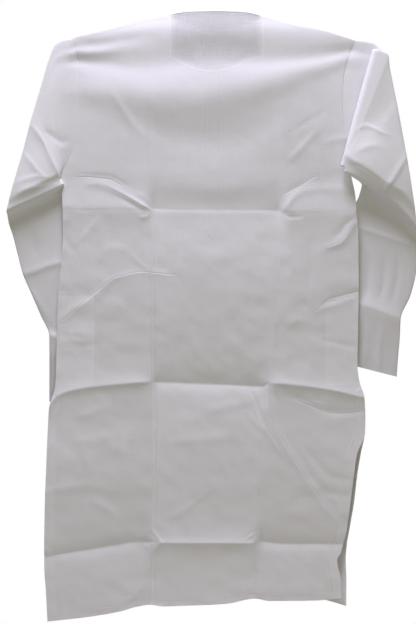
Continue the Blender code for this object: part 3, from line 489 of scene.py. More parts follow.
def add_mesh(name, points, faces, material, wall=None, **marks):
    """One named piece from points in millimetres, with float marks on its points."""
    mesh = bpy.data.meshes.new(name)
    mesh.from_pydata((np.asarray(points) * MM).tolist(), [], faces)
    mesh.update()
    for key, values in marks.items():
        mark = mesh.attributes.new(key, "FLOAT", "POINT")
        mark.data.foreach_set("value", np.ascontiguousarray(values, np.float32).ravel())
    mesh.polygons.foreach_set("use_smooth", [True] * len(mesh.polygons))
    thing = put(name, mesh)
    mesh.materials.append(material)
    if wall:
        solid = thing.modifiers.new("wall", "SOLIDIFY")
        solid.thickness = wall * MM
        solid.offset = 0.0
        made = bpy.data.meshes.new_from_object(thing.evaluated_get(bpy.context.evaluated_depsgraph_get()))
        thing.modifiers.clear()
        thing.data = made
        made.name = name
        made.set_sharp_from_angle(angle=math.radians(62))
    return thing


def lattice(rows, columns, turned=False, skip=None):
    """Quads of a grid of points."""
    j, i = np.meshgrid(np.arange(rows - 1), np.arange(columns - 1), indexing="ij")
    a = (j * columns + i).ravel()
    quads = np.stack([a, a + columns, a + columns + 1, a + 1], 1)
    if skip is not None:
        quads = quads[~skip(j.ravel(), i.ravel())]
    return (quads[:, ::-1] if turned else quads).tolist()


def node(tree, kind, **values):
    n = tree.nodes.new(kind)
    for key, value in values.items():
        if key in n.inputs:
            n.inputs[key].default_value = value
        else:
            setattr(n, key, value)
    return n


def maths(tree, what, a, b=0.0, c=0.0):
    """One sum on numbers or sockets."""
    n = tree.nodes.new("ShaderNodeMath")
    n.operation = what
    for slot, value in zip(n.inputs, (a, b, c)):
        if isinstance(value, bpy.types.NodeSocket):
            tree.links.new(value, slot)
        else:
            slot.default_value = value
    return n.outputs[0]


def ripple(tree, scale, detail=2.0, rough=0.5):
    """Noise over the object's own coordinates, stretched by scale (x, y, z), about nought."""
    coords = tree.nodes.new("ShaderNodeTexCoord")
    mapping = tree.nodes.new("ShaderNodeMapping")
    mapping.inputs["Scale"].default_value = scale
    noise = node(tree, "ShaderNodeTexNoise", Scale=1.0, Detail=detail, Roughness=rough)
    tree.links.new(coords.outputs["Object"], mapping.inputs["Vector"])
    tree.links.new(mapping.outputs[0], noise.inputs["Vector"])
    return maths(tree, "SUBTRACT", noise.outputs["Fac"], 0.5)


def band(tree, mark, centre, wide):
    """One where the mark is at centre, falling to nought at the given half width."""
    source = node(tree, "ShaderNodeAttribute", attribute_name=mark)
    away = maths(tree, "ABSOLUTE", maths(tree, "SUBTRACT", source.outputs["Fac"], centre))
    return maths(tree, "MAXIMUM", maths(tree, "SUBTRACT", 1.0, maths(tree, "DIVIDE", away, wide)), 0.0)


def beyond(tree, mark, at, soft):
    """Nought below the mark's value at, one above it, over a soft width."""
    source = node(tree, "ShaderNodeAttribute", attribute_name=mark)
    rise = maths(tree, "DIVIDE", maths(tree, "SUBTRACT", source.outputs["Fac"], at), soft)
    return maths(tree, "MINIMUM", maths(tree, "MAXIMUM", rise, 0.0), 1.0)


def within(tree, mark, at, soft):
    """One below the mark's value at, nought above it, over a soft width."""
    return maths(tree, "SUBTRACT", 1.0, beyond(tree, mark, at, soft))


def plain(tree, mark):
    return node(tree, "ShaderNodeAttribute", attribute_name=mark).outputs["Fac"]


def plus(tree, total, source, amount):
    """A total with its share of one more source added."""
    return maths(tree, "ADD", total, maths(tree, "MULTIPLY", source, amount))


WEAVE = 0.00055     # two threads of the weave, in metres


def cotton(name, colour, tints=(), raised=(), bare=None):
    """Thin matt cotton: weave and slubs from the object's own coordinates, and show-through, painted light
    and painted shade by marks.

    Each row of tints and raised is (amount, function, what it takes after the tree).
    """
    m = bpy.data.materials.new(name)
    m.use_nodes = True
    tree = m.node_tree
    shader = tree.nodes["Principled BSDF"]
    shader.inputs["Roughness"].default_value = 0.92
    shader.inputs["Specular IOR Level"].default_value = 0.18
    shader.inputs["Sheen Weight"].default_value = 0.12
    shader.inputs["Sheen Roughness"].default_value = 0.6
    across = ripple(tree, (45.0, 200.0, 620.0))
    upright = ripple(tree, (620.0, 200.0, 45.0))
    patch = ripple(tree, (14.0, 8.0, 14.0), 1.0)
    slub = maths(tree, "ADD", across, upright)
    strength = plus(tree, 0.04, bare[0](tree, *bare[1:]), 0.16) if bare else 0.04
    share = plus(tree, maths(tree, "MULTIPLY", slub, strength), patch, 0.04)
    share = maths(tree, "ADD", share, 1.0)
    for amount, source, *values in tints:
        share = plus(tree, share, source(tree, *values), amount)
    mix = node(tree, "ShaderNodeVectorMath", operation="SCALE")
    mix.inputs[0].default_value = colour
    tree.links.new(share, mix.inputs["Scale"])
    tree.links.new(mix.outputs[0], shader.inputs["Base Color"])
    coords = tree.nodes.new("ShaderNodeTexCoord")
    parts = tree.nodes.new("ShaderNodeSeparateXYZ")
    tree.links.new(coords.outputs["Object"], parts.inputs[0])
    warp = maths(tree, "SINE", maths(tree, "MULTIPLY", parts.outputs["X"], 2 * math.pi / WEAVE))
    weft = maths(tree, "SINE", maths(tree, "MULTIPLY", parts.outputs["Z"], 2 * math.pi / WEAVE))
    height = maths(tree, "MULTIPLY", maths(tree, "MULTIPLY", warp, weft), 0.03)
    height = plus(tree, plus(tree, height, across, 0.12), upright, 0.12)
    for amount, source, *values in raised:
        height = plus(tree, height, source(tree, *values), amount)
    bump = node(tree, "ShaderNodeBump", Strength=1.0, Distance=0.001)
    tree.links.new(height, bump.inputs["Height"])
    tree.links.new(bump.outputs[0], shader.inputs["Normal"])
    return m


WHITE = (0.80, 0.785, 0.79)
heights = [0, 252.9, 308.7, 619.0, 906.0, 1020.0]
levels = [0, UNDERARM, 1, 2, 3, 4]
back_vs = spread(heights, levels, heights[2:5], 4.3)
back_us = spread([0, 133, 372, 505], [0, 1, 2, 3], [], 3.05)
b_rows = []
for curve, fl, fr in zip((SHOULDERS, CREASE_1, CREASE_2, CREASE_3, HEM), FOLD_LEFT, FOLD_RIGHT):
    b_rows.append(row_by_x(curve, [curve[0][0], fl, fr, curve[-1][0]]))
b_columns = [
    side_column(ARM_LEFT, SIDE_LEFT, [r[0][2] for r in b_rows]),
    straight_column(b_rows, 1),
    straight_column(b_rows, 2),
    side_column(ARM_RIGHT, SIDE_RIGHT, [r[-1][2] for r in b_rows]),
]
bx, bz = patchwork(b_rows, b_columns, back_us, back_vs)
by = back_y(bx, bz)
share = np.linspace(0, 1, 120)
scoop = np.stack([read(SCOOP, share, 0, 1), read(SCOOP, share, 0, 2)], 1)
neck_mark = np.abs(beside(bx, bz, scoop)[0])
neck_mark = np.where((np.abs(bx) < NECK_HALF) & (bz > read(SCOOP[1:-1], bx, 1, 2)), neck_mark, -neck_mark)
back_edges = [np.array([p[1:] for p in c]) for c in (b_columns[0], b_columns[3])]
slit_mark = np.minimum(*[np.abs(beside(bx, bz, e[e[:, 1] < SLIT_TOP + 30])[0]) for e in back_edges])
hem_mark = np.minimum(np.abs(beside(bx, bz, np.array(HEM))[0]), slit_mark * 0.6)
strip_line = np.array([(STRIP_LEFT, -41.0), (STRIP_LEFT, -325.0), (STRIP_MIDDLE, -340.0),
                       (STRIP_RIGHT, -325.0), (STRIP_RIGHT, -41.0)])
strip_mark = np.abs(beside(bx, bz, strip_line)[0])
bag_marks = []
for x0, x1, z0, z1 in ((-330, -217, -604, -441), (194, 300, -604, -452)):
    bag_marks.append(np.minimum(np.minimum(bx - x0, x1 - bx), np.minimum(bz - z0, z1 - bz)))
bag_mark = np.maximum(*bag_marks)
# Sharp folds in the weave: a fine groove along each line, a fine ridge on its right as it runs, and painted
# shade along the groove
SHARP = [
    [(95, -605), (97, -657), (112, -689), (130, -718), (167, -778), (205, -832), (228, -853)],
    [(-120, -290), (-131, -283), (-151, -271), (-173, -259), (-189, -251)],
    [(-273, -485), (-237, -453), (-196, -421), (-184, -410), (-137, -399), (-75, -405)],
    [(181, -469), (202, -448), (256, -435)],
    [(259, -651), (232, -654), (205, -653), (184, -646), (150, -632)],
    [(123, -260), (137, -253), (155, -243), (177, -229)],
    [(-118, -995), (-115, -756), (-116, -610), (-116, -590), (-118, -450), (-119, -300)],
    [(89, -676), (106, -702), (118, -725)],
    [(198, -355), (222, -347), (236, -331), (250, -309)],
    [(-170, -244), (-190, -233), (-230, -229), (-243, -229)],
    [(-98, -884), (-117, -861), (-138, -883)],
    [(-138, -885), (-116, -911), (-99, -886)],
    [(78, -887), (71, -869), (57, -879)],
]
fold_mark = np.full(bx.shape, 9.0)
for line in SHARP:
    d = beside(bx, bz, np.array(line, float))[0]
    fold_mark = np.where(np.abs(d) < np.abs(fold_mark), d, fold_mark)
# Painted light and shade by the left long fold below the second cross fold: the cloth left of it darker, as
# in its shade, the cloth right of it lighter
off = bx + 117.0
painted_fold_light_shade_mark = (np.exp(-np.abs(off) / 26.0) * np.tanh(off / 1.5) * np.where(off > 0, 1.0, 0.7)
             * ease((-bz - 605) / 12) * (0.8 + 0.4 * crumple(bx, bz, 60.0, 31)))
back_cloth = cotton(
    "back_cotton", WHITE,
    tints=[
        # painted light and shade beside the left long fold
        (0.03, plain, "tone"),
        # painted shade: a darker line along each sharp fold
        (-0.04, band, "fold", 0.0, 1.4),
        (0.03, band, "neck", -0.5, 3.0),
        # darker where the back lies alone over the open neck: partly the thin single layer showing through,
        # partly painted shade
        (-0.15, beyond, "neck", -1.0, 12.0),
        (-0.03, band, "strip", 0.0, 1.6),
        (0.04, beyond, "bag", 0.0, 1.5),
        (-0.035, band, "bag", 0.0, 1.6),
        (0.03, within, "hem", 9.6, 1.0),
        (-0.05, band, "hem", 9.6, 0.8),
    ],
    raised=[
        (0.35, within, "hem", 10.0, 1.0),
        (0.25, band, "strip", 0.0, 2.0),
        (0.14, band, "neck", -0.5, 2.8),
        (-0.20, band, "fold", 0.0, 1.7),
        (0.15, band, "fold", -2.6, 2.4),
    ],
    bare=(beyond, "neck", -1.0, 9.0),
)
back = add_mesh(
    "back_cloth", np.stack([bx, by, bz], -1).reshape(-1, 3), lattice(len(back_vs), len(back_us)),
    back_cloth, WALL, neck=neck_mark, hem=hem_mark, strip=strip_mark, bag=bag_mark,
    fold=fold_mark, tone=painted_fold_light_shade_mark,
)
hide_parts("back_panel")
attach(back, "root")

# Front panel: one piece of the same cotton, cut with a round scooped neck and slit down the middle under
# the placket. It is sewn to the back at the shoulders and along its sides, down to the side slits.
FRONT_FOLDS = [
    (2, [(-200, 10, 0.4, 12, 12), (-120, -30, 2.2, 22, 26), (-40, -95, 3, 28, 34), (30, -98, 3, 28, 34),
      (110, -40, 2.2, 22, 26), (200, 5, 0.4, 12, 12)]),
    (2, [(-150, -120, 0, 20, 20), (-60, -180, -2.2, 34, 30), (40, -180, -2.2, 34, 30),
      (150, -110, 0, 20, 20)]),
    (1.3, [(-230, -240, 0, 5, 8), (-190, -246, 1.6, 6, 10), (-150, -268, 1.8, 6, 10),
      (-122, -286, 0.8, 5, 6)]),
    (1.3, [(126, -286, 0.8, 5, 6), (150, -258, 1.7, 6, 10), (196, -240, 1.2, 6, 10), (225, -236, 0, 5, 8)]),
    (1.6, [(-250, -430, 0, 8, 10), (-200, -470, 1.4, 8, 12), (-140, -500, 1.0, 8, 10), (-90, -505, 0, 6, 8)]),
    (1.6, [(110, -400, 0, 8, 10), (160, -452, 1.4, 8, 12), (214, -470, 1.0, 8, 10), (246, -462, 0, 6, 8)]),
    (1.4, [(-118, -600, 0.8, 5, 6), (-100, -650, 1.5, 5, 8), (-56, -720, 1.6, 5, 9), (-10, -780, 0, 5, 8)]),
    (1.4, [(90, -610, 0.8, 5, 6), (120, -660, 1.4, 5, 8), (170, -700, 1.2, 5, 9), (205, -716, 0, 5, 8)]),
    (1.8, [(-260, -760, 0, 10, 12), (-200, -790, 1.2, 12, 14), (-130, -800, 1, 12, 14),
      (-80, -790, 0, 8, 8)]),
    (1.8, [(20, -820, 0, 10, 12), (80, -845, 1.0, 12, 14), (150, -838, 1.0, 12, 14), (200, -820, 0, 8, 8)]),
]
neck_in = (-82.8, -88.0, -76.0, -66.0, -60.0)
neck_out = (82.8, 88.0, 66.0, 50.0, 46.0)
CUT_END = 0.58
CUT_LEFT, CUT_RIGHT = -6.9, -4.9
CORNER, TIP = 1.116, 1.157
FRONT_HEM = [(x, z if x < 200 else z - 0.6 * (x - 200)) for x, z in HEM[:-1]] + [(234.4, -1001.0)]


def arc_z(x):
    return float(np.interp(x, [p[1] for p in SCOOP[1:-1]], [p[2] for p in SCOOP[1:-1]]))


top = [(np.interp(x, (-252.0, -118.8), (0, 1)), x, z) for x, z in SHOULDERS if x <= -118.8]
top += [(1.2, -NECK_HALF, 62.1), (2, -NECK_HALF, -14.4)]
top += [(2 + (x + NECK_HALF) / (STRIP_LEFT + NECK_HALF), x, arc_z(x)) for x in (-68.4, -46.8, -28.8)]
top += [(n, x, arc_z(x)) for n, x in ((3, STRIP_LEFT), (4, CUT_LEFT), (5, CUT_RIGHT), (6, STRIP_RIGHT))]
top += [(6 + (x - STRIP_RIGHT) / (NECK_HALF - STRIP_RIGHT), x, arc_z(x)) for x in (16.0, 34.2, 57.6)]
top += [(7, NECK_HALF, -14.4), (7.8, NECK_HALF, 59.4)]
top += [(np.interp(x, (120.6, 250.2), (8, 9)), x, z) for x, z in SHOULDERS if x >= 120.6]
f_rows = [top]
for n, curve in enumerate((CREASE_1, CREASE_2, CREASE_3, FRONT_HEM), start=1):
    stops = [curve[0][0], FOLD_LEFT[n], neck_in[n], STRIP_LEFT, CUT_LEFT, CUT_RIGHT, STRIP_RIGHT, neck_out[n],
             FOLD_RIGHT[n], {3: 236.0}.get(n, curve[-1][0])]
    f_rows.append(row_by_x(curve, stops))
f_columns = [side_column(ARM_LEFT, SIDE_LEFT, [r[0][2] for r in f_rows])]
f_columns += [straight_column(f_rows, n) for n in range(1, 9)]
f_columns += [side_column(ARM_RIGHT, FRONT_RIGHT, [r[-1][2] for r in f_rows])]
front_us = np.concatenate([np.linspace(n, n + 1, k, endpoint=False)
                           for n, k in enumerate((26, 12, 16, 4, 1, 4, 20, 10, 26))] + [[9.0]])
front_vs = spread(heights, levels, heights[2:5], 5.6, 3.5)
cut_j = int(np.argmin(np.abs(front_vs - CUT_END)))
cut_i = int(np.argmin(np.abs(front_us - 4)))
fx, fz = patchwork(f_rows, f_columns, front_us, front_vs)


def front_form(x, z):
    """The front's middle surface without its folds."""
    edge, full, roof = swell(x, z)
    deep = read(list(zip(DEEP_AT, (12, 17, 14, 18, 15, 19, 16, 18))), -z)
    return middle(x, z) + HALF + edge * roof + roof * np.maximum(deep - edge, 0) * full


def front_y(x, z):
    """The front's middle surface with its folds; along the side seams it takes the back's."""
    left, right = read(SIDE_L, z, 1, 0), read(SIDE_RF, z, 1, 0)
    seam = np.exp(-np.minimum(x - left, right - x) / 25.0) * ease((z - SLIT_TOP + 40) / 60)
    own = relief(x, z, FRONT_FOLDS) + 0.3 * crumple(x, z, 31.0, 12) + 0.15 * crumple(x, z, 17.0, 13)
    near_edge = np.exp(-np.maximum(right - x, 0) / 14.0) * ease((SLIT_TOP - z) / 120)
    return front_form(x, z) - seam * back_relief(x, z) + (1 - seam) * own - 7.0 * near_edge


fy = front_y(fx, fz)
front_edges = [np.array([p[1:] for p in c]) for c in (f_columns[0], f_columns[9])]
front_slit = np.minimum(*[np.abs(beside(fx, fz, e[e[:, 1] < SLIT_TOP + 30])[0]) for e in front_edges])
front_hem = np.minimum(np.abs(beside(fx, fz, np.array(FRONT_HEM))[0]), front_slit * 0.6)
front_cloth = cotton(
    "front_cotton", WHITE,
    tints=[(0.03, within, "hem", 9.6, 1.0),
           (-0.05, band, "hem", 9.6, 0.8)],
    raised=[(0.35, within, "hem", 10.0, 1.0)],
)
front = add_mesh(
    "front_cloth", np.stack([fx, fy, fz], -1).reshape(-1, 3),
    lattice(len(front_vs), len(front_us), True, lambda j, i: (i == cut_i) & (j < cut_j)),
    front_cloth, WALL, hem=front_hem,
)
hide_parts("front_panel")
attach(front, "root")


def front_patch(us, vs, shift, taper=None):
    """A piece that lies on the front panel: its grid of points, moved out by shift."""
    x, z = patchwork(f_rows, f_columns, us, vs)
    if taper:
        centre = (x[:, :1] + x[:, -1:]) / 2
        f = np.clip((taper[1] - vs) / (taper[1] - taper[0]), 0.02, 1.0)[:, None]
        x = centre + (x - centre) * f
    return np.stack([x, front_y(x, z) + shift, z], -1)


# Button placket: two strips of the same cotton, the upper one pointed and topstitched, down the middle of
# the front from the neckline. The upper strip lies on the panel and the shorter under strip behind it.
SEAT = 1.15         # from the front panel's middle to a strip's or a bag's
UNDER_END = 0.70
strip_cloth = cotton("placket_cotton", (0.81, 0.795, 0.80))
strips = {}
for name, shift, last, taper in (
    ("placket_upper", SEAT, TIP, (CORNER, TIP)),
    ("placket_under", -SEAT, UNDER_END, None),
):
    vs = np.append(np.linspace(0, min(last, CORNER), 84), np.linspace(CORNER, TIP, 8)[1:] if taper else [])
    grid = front_patch(np.linspace(3.0, 6.0, 13), vs, shift, taper)
    strips[name] = grid
    strip = add_mesh(name + "_cloth", grid.reshape(-1, 3), lattice(len(vs), 13, True), strip_cloth, WALL)
    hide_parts(name)
    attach(strip, "root")

# Pocket bags: one bag of the same cotton inside each side seam, laid behind the front panel and stitched
# to it along its top, its inner side and its foot.
bag_cloth = cotton("pocket_cotton", WHITE)
for name, u0, u1 in (("pocket_bag_left", 0.1, 0.41), ("pocket_bag_right", 8.59, 8.9)):
    grid = front_patch(np.linspace(u0, u1, 18), np.linspace(1.48, 2.05, 46), -SEAT)
    bag = add_mesh(name + "_cloth", grid.reshape(-1, 3), lattice(46, 18, True), bag_cloth, WALL)
    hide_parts(name)
    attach(bag, "root")


# Neck binding: a narrow bias strip of the same cotton, rolled over the cut edge all round the neck
# opening and slip-stitched inside.
def tube(name, path, radius, material, sides=10, closed=True):
    """A cord of cloth or thread along a path of points in millimetres."""
    p = np.asarray(path, float)
    ahead = np.roll(p, -1, 0) - np.roll(p, 1, 0)
    if not closed:
        ahead[0], ahead[-1] = p[1] - p[0], p[-1] - p[-2]
    ahead /= np.linalg.norm(ahead, axis=1, keepdims=True)
    across = np.cross(ahead, (0, 1, 0))
    across /= np.linalg.norm(across, axis=1, keepdims=True)
    over = np.cross(across, ahead)
    a = np.linspace(0, 2 * np.pi, sides + 1)[:-1]
    r = np.broadcast_to(radius, len(p))[:, None, None]
    spokes = across[:, None] * np.cos(a)[None, :, None] + over[:, None] * np.sin(a)[None, :, None]
    points = p[:, None] + r * spokes
    n = len(p)
    j, i = np.meshgrid(np.arange(n if closed else n - 1), np.arange(sides), indexing="ij")
    k, l = (j + 1) % n, (i + 1) % sides
    quads = np.stack([j * sides + i, k * sides + i, k * sides + l, j * sides + l], -1).reshape(-1, 4).tolist()
    if not closed:
        quads += [list(range(sides)), list(range((n - 1) * sides, n * sides))[::-1]]
    return add_mesh(name, points.reshape(-1, 3), quads, material)


LIFT = 0.6
ring = []
for x in np.linspace(-78.0, 78.0, 60):
    z = float(read(SHOULDERS, x))
    ring.append((x, float(back_y(np.array([x]), np.array([z]))[0]) + 0.5, z + LIFT))
for t in np.linspace(0.975, 0.025, 150):
    at, ahead, behind = (np.array([read(SCOOP, t + d, 0, c) for c in (1, 2)]) for d in (0, 0.01, -0.01))
    way = (ahead - behind) / np.linalg.norm(ahead - behind)
    y = float(front_y(at[:1], at[1:])[0])
    ring.append((at[0] - way[1] * LIFT, y, at[1] + way[0] * LIFT))
binding_cloth = cotton("binding_cotton", (0.82, 0.805, 0.81))
rolled = 1.25 + 0.1 * crumple(np.arange(len(ring)) * 3.0, np.zeros(len(ring)), 9.0, 21)
binding = tube("neck_binding_cloth", ring, rolled, binding_cloth)
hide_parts("neck_binding")
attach(binding, "root")

# Buttons: four small shell buttons with a raised rim and four holes, each sewn to the upper strip with
# two loops of white thread.
shell = bpy.data.materials.new("button_shell")
shell.use_nodes = True
tree = shell.node_tree
shader = tree.nodes["Principled BSDF"]
shader.inputs["Roughness"].default_value = 0.28
shader.inputs["Coat Weight"].default_value = 0.3
cloudy = maths(tree, "ADD", maths(tree, "MULTIPLY", ripple(tree, (260.0, 260.0, 900.0), 3.0), 0.22), 1.0)
mix = node(tree, "ShaderNodeVectorMath", operation="SCALE")
mix.inputs[0].default_value = (0.80, 0.785, 0.75)
tree.links.new(cloudy, mix.inputs["Scale"])
tree.links.new(mix.outputs[0], shader.inputs["Base Color"])
thread_white = cotton("thread_white", (0.84, 0.83, 0.83))
BUTTON_R = 5.5
BUTTON_Z = (-72.0, -140.0, -208.0, -262.0)
HOLE_OUT = 1.35     # from the button's middle to a hole's, along each side
HOLE_R = 0.62


def button_shape():
    """Points and faces of one button lying flat, its face up, with four holes right through."""
    round_32 = np.linspace(0, 2 * np.pi, 33)[:-1]
    round_10 = np.linspace(0, 2 * np.pi, 11)[:-1]
    holes = [(dx * HOLE_OUT, dy * HOLE_OUT) for dx in (-1, 1) for dy in (-1, 1)]
    flat = [(3.7 * math.cos(a), 3.7 * math.sin(a)) for a in round_32]
    loops = [list(range(32))]
    for hx, hy in holes:
        start = len(flat)
        flat += [(hx + HOLE_R * math.cos(a), hy + HOLE_R * math.sin(a)) for a in round_10]
        loops.append(list(range(start, start + 10)))
    edges = [(l[i], l[(i + 1) % len(l)]) for l in loops for i in range(len(l))]
    pts, _, tris, *_ = delaunay_2d_cdt([Vector(p) for p in flat], edges, [], 1, 1e-6)
    tris = [list(t) for t in tris if min(math.dist(np.mean([pts[i] for i in t], 0), h) for h in holes) > 0.6]
    n = len(pts)
    points = [(p[0], p[1], 0.75) for p in pts] + [(p[0], p[1], -0.95) for p in pts]
    faces = tris + [[i + n for i in t[::-1]] for t in tris]
    for l in loops[1:]:
        faces += [[l[i], l[i] + n, l[(i + 1) % 10] + n, l[(i + 1) % 10]] for i in range(10)]
    rim = [(4.3, 1.08), (4.9, 1.1), (5.3, 0.85), (BUTTON_R, 0.35), (5.45, -0.4), (5.0, -0.85), (4.4, -1.0)]
    before = list(range(32))
    for r, h in rim:
        start = len(points)
        points += [(r * math.cos(a), r * math.sin(a), h) for a in round_32]
        faces += [[before[i], start + i, start + (i + 1) % 32, before[(i + 1) % 32]] for i in range(32)]
        before = list(range(start, start + 32))
    faces += [[before[i], i + n, (i + 1) % 32 + n, before[(i + 1) % 32]] for i in range(32)]
    return np.array(points), faces


shape, shape_faces = button_shape()
for n, z in enumerate(BUTTON_Z, start=1):
    x = np.array([STRIP_MIDDLE, STRIP_MIDDLE, STRIP_MIDDLE + 0.5])
    zz = np.array([z, z + 0.5, z])
    y = front_y(x, zz)
    up = np.array([0, y[1] - y[0], 0.5])
    right = np.array([0.5, y[2] - y[0], 0])
    face = np.cross(up, right)
    face /= np.linalg.norm(face)
    right = np.cross(face, up / np.linalg.norm(up))
    turn = 0.4 * n
    axis_a = right * math.cos(turn) + np.cross(face, right) * math.sin(turn)
    axis_b = np.cross(face, axis_a)
    seat = np.array([x[0], y[0], z]) + face * 3.1
    points = seat + shape[:, :1] * axis_a + shape[:, 1:2] * axis_b + shape[:, 2:] * face
    disc = add_mesh("button_%d_shell" % n, points, shape_faces, shell)
    edge = disc.modifiers.new("edge", "BEVEL")
    edge.width = 0.08 * MM
    edge.segments = 1
    edge.limit_method = "ANGLE"
    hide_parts("button_%d" % n)
    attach(disc, "root")
    for m, side in enumerate((-1, 1), start=1):
        arch = []
        for f in np.linspace(0, 1, 9):
            lift = -1.7 + 2.75 * math.sin(math.pi * f) ** 0.45
            arch.append(seat + axis_a * (side * HOLE_OUT) + axis_b * (HOLE_OUT * (2 * f - 1)) + face * lift)
        sewn = tube("button_%d_thread_%d" % (n, m), arch, 0.3, thread_white, 6, False)
        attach(sewn, "root")

# Sleeves: two full-length set-in sleeves of the same cotton, each one tube sewn to its armhole. Both are
# turned down at the underarm, and the right one is first folded once over the back.
LEFT_FOLDS = [
    # From the hold and the underarm to the armhole
    (1.8, [(-288, -36, 0.5, 6, 6), (-295, -81, 1.2, 8, 8), (-299, -126, 0.8, 8, 8), (-295, -162, 0, 8, 8)]),
    (1.35, [(-329, -139, 0.8, 3, 5), (-320, -149, 1.5, 3, 6), (-310, -164, 1.8, 3, 7),
      (-299, -189, 1.8, 3, 7), (-288, -212, 1.5, 3, 6), (-279, -229, 0.8, 3, 4)]),
    (1.6, [(-310, -144, 0, 6, 5), (-292, -158, -1.6, 8, 6), (-277, -166, -1.6, 8, 6),
      (-263, -158, 0, 6, 6)]),
    (1.35, [(-275, -229, 0.8, 3, 3), (-268, -212, 2, 4, 3), (-261, -193, 2, 4, 3), (-254, -173, 0.8, 4, 3)]),
    (1.5, [(-284, -180, 0, 3, 3), (-272, -176, 1, 3, 4), (-256, -166, 0.8, 3, 3)]),
    # Above the edge where the sleeve turns down
    (2, [(-367, -266, 3, 50, 8), (-342, -252, 5, 64, 9), (-310, -236, 5, 64, 8), (-284, -223, 3, 40, 6)]),
    (1.5, [(-364, -245, 0, 4, 5), (-342, -234, 1, 4, 6), (-317, -229, 0.9, 4, 5), (-295, -232, 0, 3, 4)]),
    (1.5, [(-364, -263, 0, 4, 5), (-338, -252, 1, 4, 5), (-313, -247, 0.8, 4, 5), (-288, -239, 0, 3, 4)]),
    (1.6, [(-349, -184, 0, 4, 6), (-335, -198, 1.2, 4, 7), (-317, -220, 1, 4, 6), (-299, -232, 0, 3, 5)]),
    # Lower sleeve
    (1.3, [(-351, -405, 1.2, 6, 4), (-328, -398, 1.8, 8, 5), (-304, -389, 1.8, 8, 5),
      (-279, -382, 1.2, 8, 5)]),
    (1.9, [(-335, -317, 0, 8, 8), (-329, -351, -1.2, 10, 8), (-324, -382, 0, 8, 8)]),
    (1.8, [(-342, -418, 0, 6, 6), (-328, -443, 1.2, 8, 8), (-310, -472, 1, 8, 8), (-295, -497, 0, 6, 6)]),
    # Above and in the cuff piece
    (1.3, [(-306, -511, 3, 6, 40), (-290, -515, 4, 6, 46), (-270, -518, 4, 6, 46), (-209, -518, 2.4, 6, 40),
      (-169, -518, 1.2, 6, 30)]),
    (1.5, [(-297, -522, 0, 3, 4), (-295, -558, 1.6, 3, 4), (-295, -594, 1.6, 3, 4),
      (-297, -634, 0.8, 3, 4)]),
]
RIGHT_FOLDS = [
    # Flap that is folded over
    (1.4, [(252, -146, 0.4, 3, 4), (266, -140, 1.1, 3, 5), (281, -145, 1.3, 3, 5), (297, -153, 0.8, 3, 4),
      (313, -160, 0, 3, 4)]),
    (1.6, [(292, -270, 0.4, 5, 4), (306, -248, 1.4, 6, 4), (320, -227, 1.5, 6, 4), (340, -194, 0.8, 5, 4),
      (353, -176, 0, 4, 4)]),
    (1.8, [(310, -36, 0, 5, 6), (317, -81, 1, 6, 7), (324, -126, 0.8, 6, 7), (331, -162, 0, 6, 6)]),
    (2, [(229, -189, 3, 50, 8), (252, -205, 7, 76, 12), (274, -218, 8, 90, 13), (306, -241, 8, 96, 13),
      (335, -257, 7, 90, 12), (360, -284, 5, 80, 10)]),
    (2, [(245, -194, 0, 6, 6), (263, -180, 0.9, 7, 7), (284, -176, 0.7, 7, 7), (302, -187, 0, 6, 6)]),
    (1.5, [(234, -207, 0, 3, 4), (256, -214, -0.9, 4, 4), (277, -227, -0.9, 4, 4), (302, -245, -0.6, 4, 4),
      (324, -252, 0, 3, 3)]),
    # Lower sleeve
    (1.3, [(252, -316, 1.2, 4, 6), (281, -326, 2, 5, 8), (313, -337, 2, 5, 8), (340, -346, 1.8, 5, 8),
      (364, -355, 1.2, 4, 6)]),
    (1.8, [(274, -360, 0, 5, 6), (275, -392, -1.6, 6, 7), (274, -425, -1.6, 6, 7), (270, -450, 0, 5, 6)]),
    (1.8, [(302, -364, 0, 5, 6), (304, -396, -1.4, 6, 6), (301, -428, -1.4, 6, 6), (295, -454, 0, 5, 6)]),
    (1.8, [(329, -364, 0, 5, 6), (329, -396, -1.2, 6, 6), (324, -428, -1.2, 6, 6), (317, -461, 0, 5, 6)]),
    # Cross ridge and the folds of the cuff
    (1.2, [(252, -454, 2.6, 12, 34), (277, -462, 4.2, 14, 40), (304, -472, 4.2, 14, 40),
      (338, -485, 2.8, 12, 34)]),
    (1.8, [(270, -482, 0, 5, 5), (272, -518, 1.2, 6, 6), (270, -551, 1.2, 6, 6), (268, -572, 0.6, 5, 5)]),
    (1.8, [(299, -490, 0, 5, 5), (297, -522, 1.2, 6, 6), (295, -554, 1.2, 6, 6), (295, -580, 0.6, 5, 5)]),
    # Shade under the flap
    (1.8, [(248, -245, -1, 10, 22), (281, -270, -2.2, 12, 24), (310, -292, -2.2, 12, 24),
      (346, -320, -1, 10, 20)]),
]
